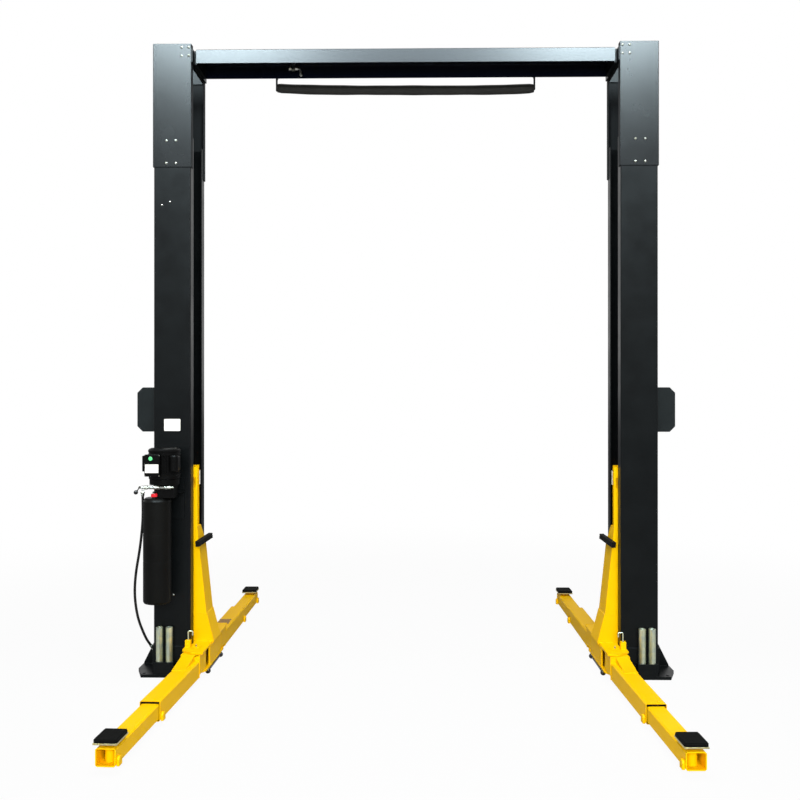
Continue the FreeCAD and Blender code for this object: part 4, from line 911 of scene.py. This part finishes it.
def makeMotor(setup):
    bm = bmesh.new()
    centre = (setup["x"], setup["y"], setup["low"])
    r, h = setup["radius"], setup["height"]
    spin(bm, [(r - 0.010, 0), (r - 0.004, 0.004), (r - 0.004, 0.026), (r - 0.001, 0.029), (r - 0.001, 0.034),
              (r - 0.006, 0.036)], centre, (0, 0, 1), 64)
    levels = [(r - 0.003, 0.030, True), (r - 0.003, 0.155, True)]
    ribbedRing(bm, levels, centre, setup["fins"], setup["finDepth"])
    spin(bm, [(r - 0.006, 0.148), (r - 0.0005, 0.150), (r - 0.0005, 0.158), (r - 0.003, 0.160),
              (r - 0.003, 0.167), (r, 0.169), (r, 0.180), (r - 0.006, 0.188), (r - 0.018, 0.1925),
              (r - 0.040, h), (0, h)], centre, (0, 0, 1), 64)
    made = newPiece("motorShell", bm, "unitEnamel", "frame", 32)
    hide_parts("motor")
    bm = bmesh.new()
    cr, ch = setup["canRadius"], setup["canHeight"]
    x, y, z = setup["can"]
    spin(bm, [(cr - 0.003, 0), (cr, 0.003), (cr, 0.010), (cr - 0.0012, 0.011), (cr - 0.0012, ch - 0.016),
              (cr, ch - 0.015), (cr, ch - 0.010), (cr - 0.003, ch - 0.003), (cr - 0.010, ch), (0, ch)],
         setup["can"], (0, 0, 1), 48)
    softBlock(bm, (x - 0.03, y + 0.005, z + 0.006), (x + 0.028, y + 0.05, z + ch - 0.008), 0.004)
    made = newPiece("capacitorCover", bm, "unitEnamel", "frame", 32)
    bm = bmesh.new()
    for x, y in setup["bolts"]:
        hexBolt(bm, (x, y, setup["low"] + setup["boltLow"]), (0, 0, 1), 0.010, 0.009, 0.014)
    made = newPiece("motorBolts", bm, "fittingSteel", "frame", 32)


makeMotor(motorSetup)
print("motor made")


# Control box with its side switch, green push button and blank plate
controlSetup = {"low": (-1.574, -0.440, 1.278), "high": (-1.480, -0.352, 1.412), "seam": 0.018,
                "inset": 0.0015, "button": (-1.5345, 1.387), "buttonRadius": 0.0125, "collar": 0.0165,
                "plate": ((-1.569, 1.3005), (-1.4875, 1.3525)), "screws": (1.408, 1.407, 1.283),
                "side": ((-1.595, -0.414, 1.307), (-1.573, -0.338, 1.403))}


def makeControlBox(setup):
    bm = bmesh.new()
    (x0, front, z0), (x1, back, z1) = setup["low"], setup["high"]
    seam, inset = setup["seam"], setup["inset"]
    softBlock(bm, (x0, front, z0), (x1, front + seam, z1), 0.004)
    softBlock(bm, (x0 + inset, front + seam - 0.002, z0 + inset), (x1 - inset, back, z1 - inset), 0.003)
    softBlock(bm, *setup["side"], 0.004)
    x, y, z = setup["side"][0]
    softBlock(bm, (x - 0.003, y + 0.02, z + 0.03), (x + 0.004, y + 0.05, z + 0.062), 0.0015)  # the switch
    button = (setup["button"][0], front, setup["button"][1])
    r, collar = setup["buttonRadius"], setup["collar"]
    spin(bm, [(collar, -0.001), (collar, 0.003), (collar - 0.002, 0.005), (r + 0.0006, 0.005),
              (r + 0.0006, 0.001)], button, (0, -1, 0), 36)
    made = newPiece("controlHousing", bm, "unitEnamel", "frame", 32)
    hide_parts("control_box")
    bm = bmesh.new()
    spin(bm, [(r, 0.0002), (r, 0.0062), (r - 0.0012, 0.0075), (r * 0.6, 0.0082), (0, 0.0085)],
         button, (0, -1, 0), 36)
    made = newPiece("pushButton", bm, "buttonPlastic", "frame", 40)
    bm = bmesh.new()
    (x0, z0), (x1, z1) = setup["plate"]
    outline = [(x0, z0), (x1, z0), (x1, z1), (x0, z1)]
    extrude(bm, outline, 0.001, upright(front - 0.0002), 0.0004)
    made = newPiece("controlPlate", bm, "labelStock", "frame")
    bm = bmesh.new()
    left, right = x0 - 0.0005, x1 + 0.004
    topLeft, topRight, bottom = setup["screws"]
    for x, z in ((left, topLeft), (right, topRight), (right, bottom), (left, bottom)):
        domeBolt(bm, (x, front, z), (0, -1, 0), 0.005, 0.0025)
    made = newPiece("controlScrews", bm, "fittingSteel", "frame")


makeControlBox(controlSetup)
print("control box made")


# Oil tank: a drawn shell with rolled grooves, a rim under its shoulder and the filler neck
tankSetup = {"x": -1.532, "y": -0.310, "low": 0.486, "radius": 0.086, "height": 0.6535, "shoulder": 0.018,
             "grooves": [0.263, 0.431], "rim": 0.0008, "neck": (-1.537, -0.356), "neckRadius": 0.014}


def makeTank(setup):
    rim = setup["rim"]
    r, h, c = setup["radius"] - rim, setup["height"], setup["shoulder"]
    profile = [(r - c, 0), (r - 0.006, 0.004), (r - 0.001, 0.012), (r, 0.020)]
    for z in setup["grooves"]:
        profile += [(r, z - 0.004), (r - 0.0014, z - 0.0015), (r - 0.0014, z + 0.0015), (r, z + 0.004)]
    profile += [(r, h - c - 0.012), (r + rim, h - c - 0.010), (r + rim, h - c - 0.005),
                (r - 0.0005, h - c - 0.002), (r - 0.004, h - c + 0.005), (r - 0.011, h - 0.004),
                (r - c, h), (0, h)]
    bm = bmesh.new()
    spin(bm, profile, (setup["x"], setup["y"], setup["low"]), (0, 0, 1), 72)
    n = setup["neckRadius"]
    spin(bm, [(n + 0.004, h - 0.001), (n + 0.003, h + 0.001), (n, h + 0.002), (n, h + 0.0075)],
         (*setup["neck"], setup["low"]), (0, 0, 1), 32)
    made = newPiece("oilTankShell", bm, "tankEnamel", "frame", 32)
    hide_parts("oil_tank")


makeTank(tankSetup)
print("oil tank made")


# Red filler cap with grip ribs and a low dome
capSetup = {"place": (-1.537, -0.356, 1.147), "radius": 0.020, "height": 0.022, "ribs": 18, "depth": 0.0012}

bm = bmesh.new()
r, h = capSetup["radius"], capSetup["height"]
levels = [(r - 0.001, 0.0004, True), (r, 0.002, True), (r, h - 0.007, True), (r - 0.001, h - 0.0045, False),
          (r - 0.004, h - 0.002, False), (r - 0.009, h - 0.0006, False), (0.002, h, False)]
ribbedRing(bm, levels, capSetup["place"], capSetup["ribs"], capSetup["depth"])
cap = newPiece("ribbedFillerCap", bm, "capPlastic", "frame", 35)
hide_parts("filler_cap")
print("filler cap made")


# Valve row of plated nuts and turned bodies, the hose ends, and the lever with its ball.
# The run goes towards the bay: length and width in millimetres, and the count of sides.
valveSetup = {"start": (-1.611, -0.378, 1.207),
              "run": [(14, 23, 6), (5, 15, 20), (22, 26, 6), (7, 17, 20), (30, 21, 28), (5, 26, 28),
                      (30, 25, 6), (9, 16, 20), (26, 20, 28), (10, 25, 28), (26, 22, 6), (14, 14, 20)],
              "lever": (-1.621, -0.378, 1.207), "ball": (-1.640, -0.390, 1.178), "ballRadius": 0.0133,
              "elbowTop": 0.038, "elbowFoot": 0.030, "port": (-1.622, -0.104, 0.142), "portRun": 0.024}


def hoseEnd(bm, place, towards, length):
    # A crimped ferrule, a stem and a hexagon nut on the end of the hose
    ferrule, stem, nut = 0.0105, 0.0088, 0.0124
    spin(bm, [(ferrule - 0.0015, -0.010), (ferrule, -0.008), (ferrule, 0.008), (ferrule - 0.0015, 0.0095)],
         place, towards, 24)
    spin(bm, [(stem, 0.009), (stem, length - 0.014)], place, towards, 24)
    spin(bm, [(0.0110, length - 0.016), (nut, length - 0.0145), (nut, length - 0.0015), (0.0110, length)],
         place, towards, 6)


def makeValveRow(setup):
    bm = bmesh.new()
    x, y, z = setup["start"]
    for length, across, steps in setup["run"]:
        r = across / 2000
        run = length / 1000
        inset, rise = (0.0008, 0.0010) if steps == 6 else (0.0004, 0.0004)
        profile = [(r - inset, 0), (r, rise), (r, run - rise), (r - inset, run)]
        spin(bm, profile, (x, y, z), (1, 0, 0), steps, 0.2)
        x += run
    x, y, z = setup["lever"]
    softBlock(bm, (x - 0.007, y + 0.005, z - 0.007), (x + 0.015, y + 0.009, z + 0.007), 0.0012)
    pin = [(0.0024, 0), (0.003, 0.0006), (0.003, 0.0194), (0.0024, 0.020)]
    spin(bm, pin, (x, y - 0.010, z), (0, 1, 0), 18)
    route = [Vector(p) for p in hoseSetup["route"]]
    hoseEnd(bm, route[0], route[0] - route[1], setup["elbowTop"])
    hoseEnd(bm, route[-1], route[-1] - route[-2], setup["elbowFoot"])
    spin(bm, [(0.0095, 0), (0.0115, 0.0015), (0.0115, 0.014), (0.0095, 0.0155), (0.0095, setup["portRun"])],
         setup["port"], (1, 0, 0), 6)
    made = newPiece("valveRow", bm, "fittingSteel", "frame", 32)
    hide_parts("hydraulic_fittings")


def makeLever(setup):
    bm = bmesh.new()
    hub, knob = Vector(setup["lever"]), Vector(setup["ball"])
    spin(bm, [(0.0034, -0.004), (0.0062, -0.004), (0.0070, -0.0032), (0.0070, 0.0032), (0.0062, 0.004),
              (0.0034, 0.004)], hub, (0, 1, 0), 28)
    aim = (knob - hub).normalized()
    sweep(bm, [hub + aim * 0.004, hub + aim * 0.014, knob - aim * 0.006], [0.0038, 0.0032, 0.0032], 16)
    ball(bm, knob, setup["ballRadius"], 28, 16)
    made = newPiece("lowerLever", bm, "knobPlastic", "lowering_lever_body", 35)
    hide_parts("lowering_lever")


makeValveRow(valveSetup)
makeLever(valveSetup)
print("valve row and lever made")


# Small tee and elbow under the beam, and the nuts of the bar's hinges
beamTrim = {"tee": (-0.735, 0.030, 3.9195), "half": 0.012, "stem": 0.046, "tube": 0.0065,
            "nuts": (0.858, 0.126, 3.897), "backNut": 0.0095}

bm = bmesh.new()
x, y, z = beamTrim["tee"]
half, stem = beamTrim["half"], beamTrim["stem"]
softBlock(bm, (x - half, y - half, z - half), (x + half, y + half, z + stem), 0.002)
for way in (-1, 1):
    spin(bm, [(0.0095, 0.011), (0.011, 0.013), (0.011, 0.027), (0.0095, 0.029)], (x, y, z), (way, 0, 0), 6)
path = bendRod([(x + 0.02, y, z), (x + 0.045, y, z), (x + 0.050, y + 0.01, z - stem)], 0.012)
sweep(bm, path, beamTrim["tube"], 14)
spin(bm, [(0.0085, -0.007), (0.0098, -0.006), (0.0098, 0.006), (0.0085, 0.007)],
     (x + 0.0495, y + 0.009, z - 0.036), (0.1, 0.2, -1), 6)
trim = newPiece("beamTee", bm, "fittingSteel", "frame", 32)
bm = bmesh.new()
x, y, z = beamTrim["nuts"]
for side in (-1, 1):
    spin(bm, [(0.0062, 0.0022), (0.0072, 0.003), (0.0072, 0.0075), (0.0062, 0.0083)], (side * x, y, z),
         (side, 0, 0), 6)
    spin(bm, [(0.0062, 0), (0.0072, 0.0008), (0.0072, 0.0052), (0.0062, 0.006)],
         (side * (x - beamTrim["backNut"]), y, z), (-side, 0, 0), 6)
trim = newPiece("hingeNuts", bm, "fittingSteel", "frame", 32)
print("beam trim made")
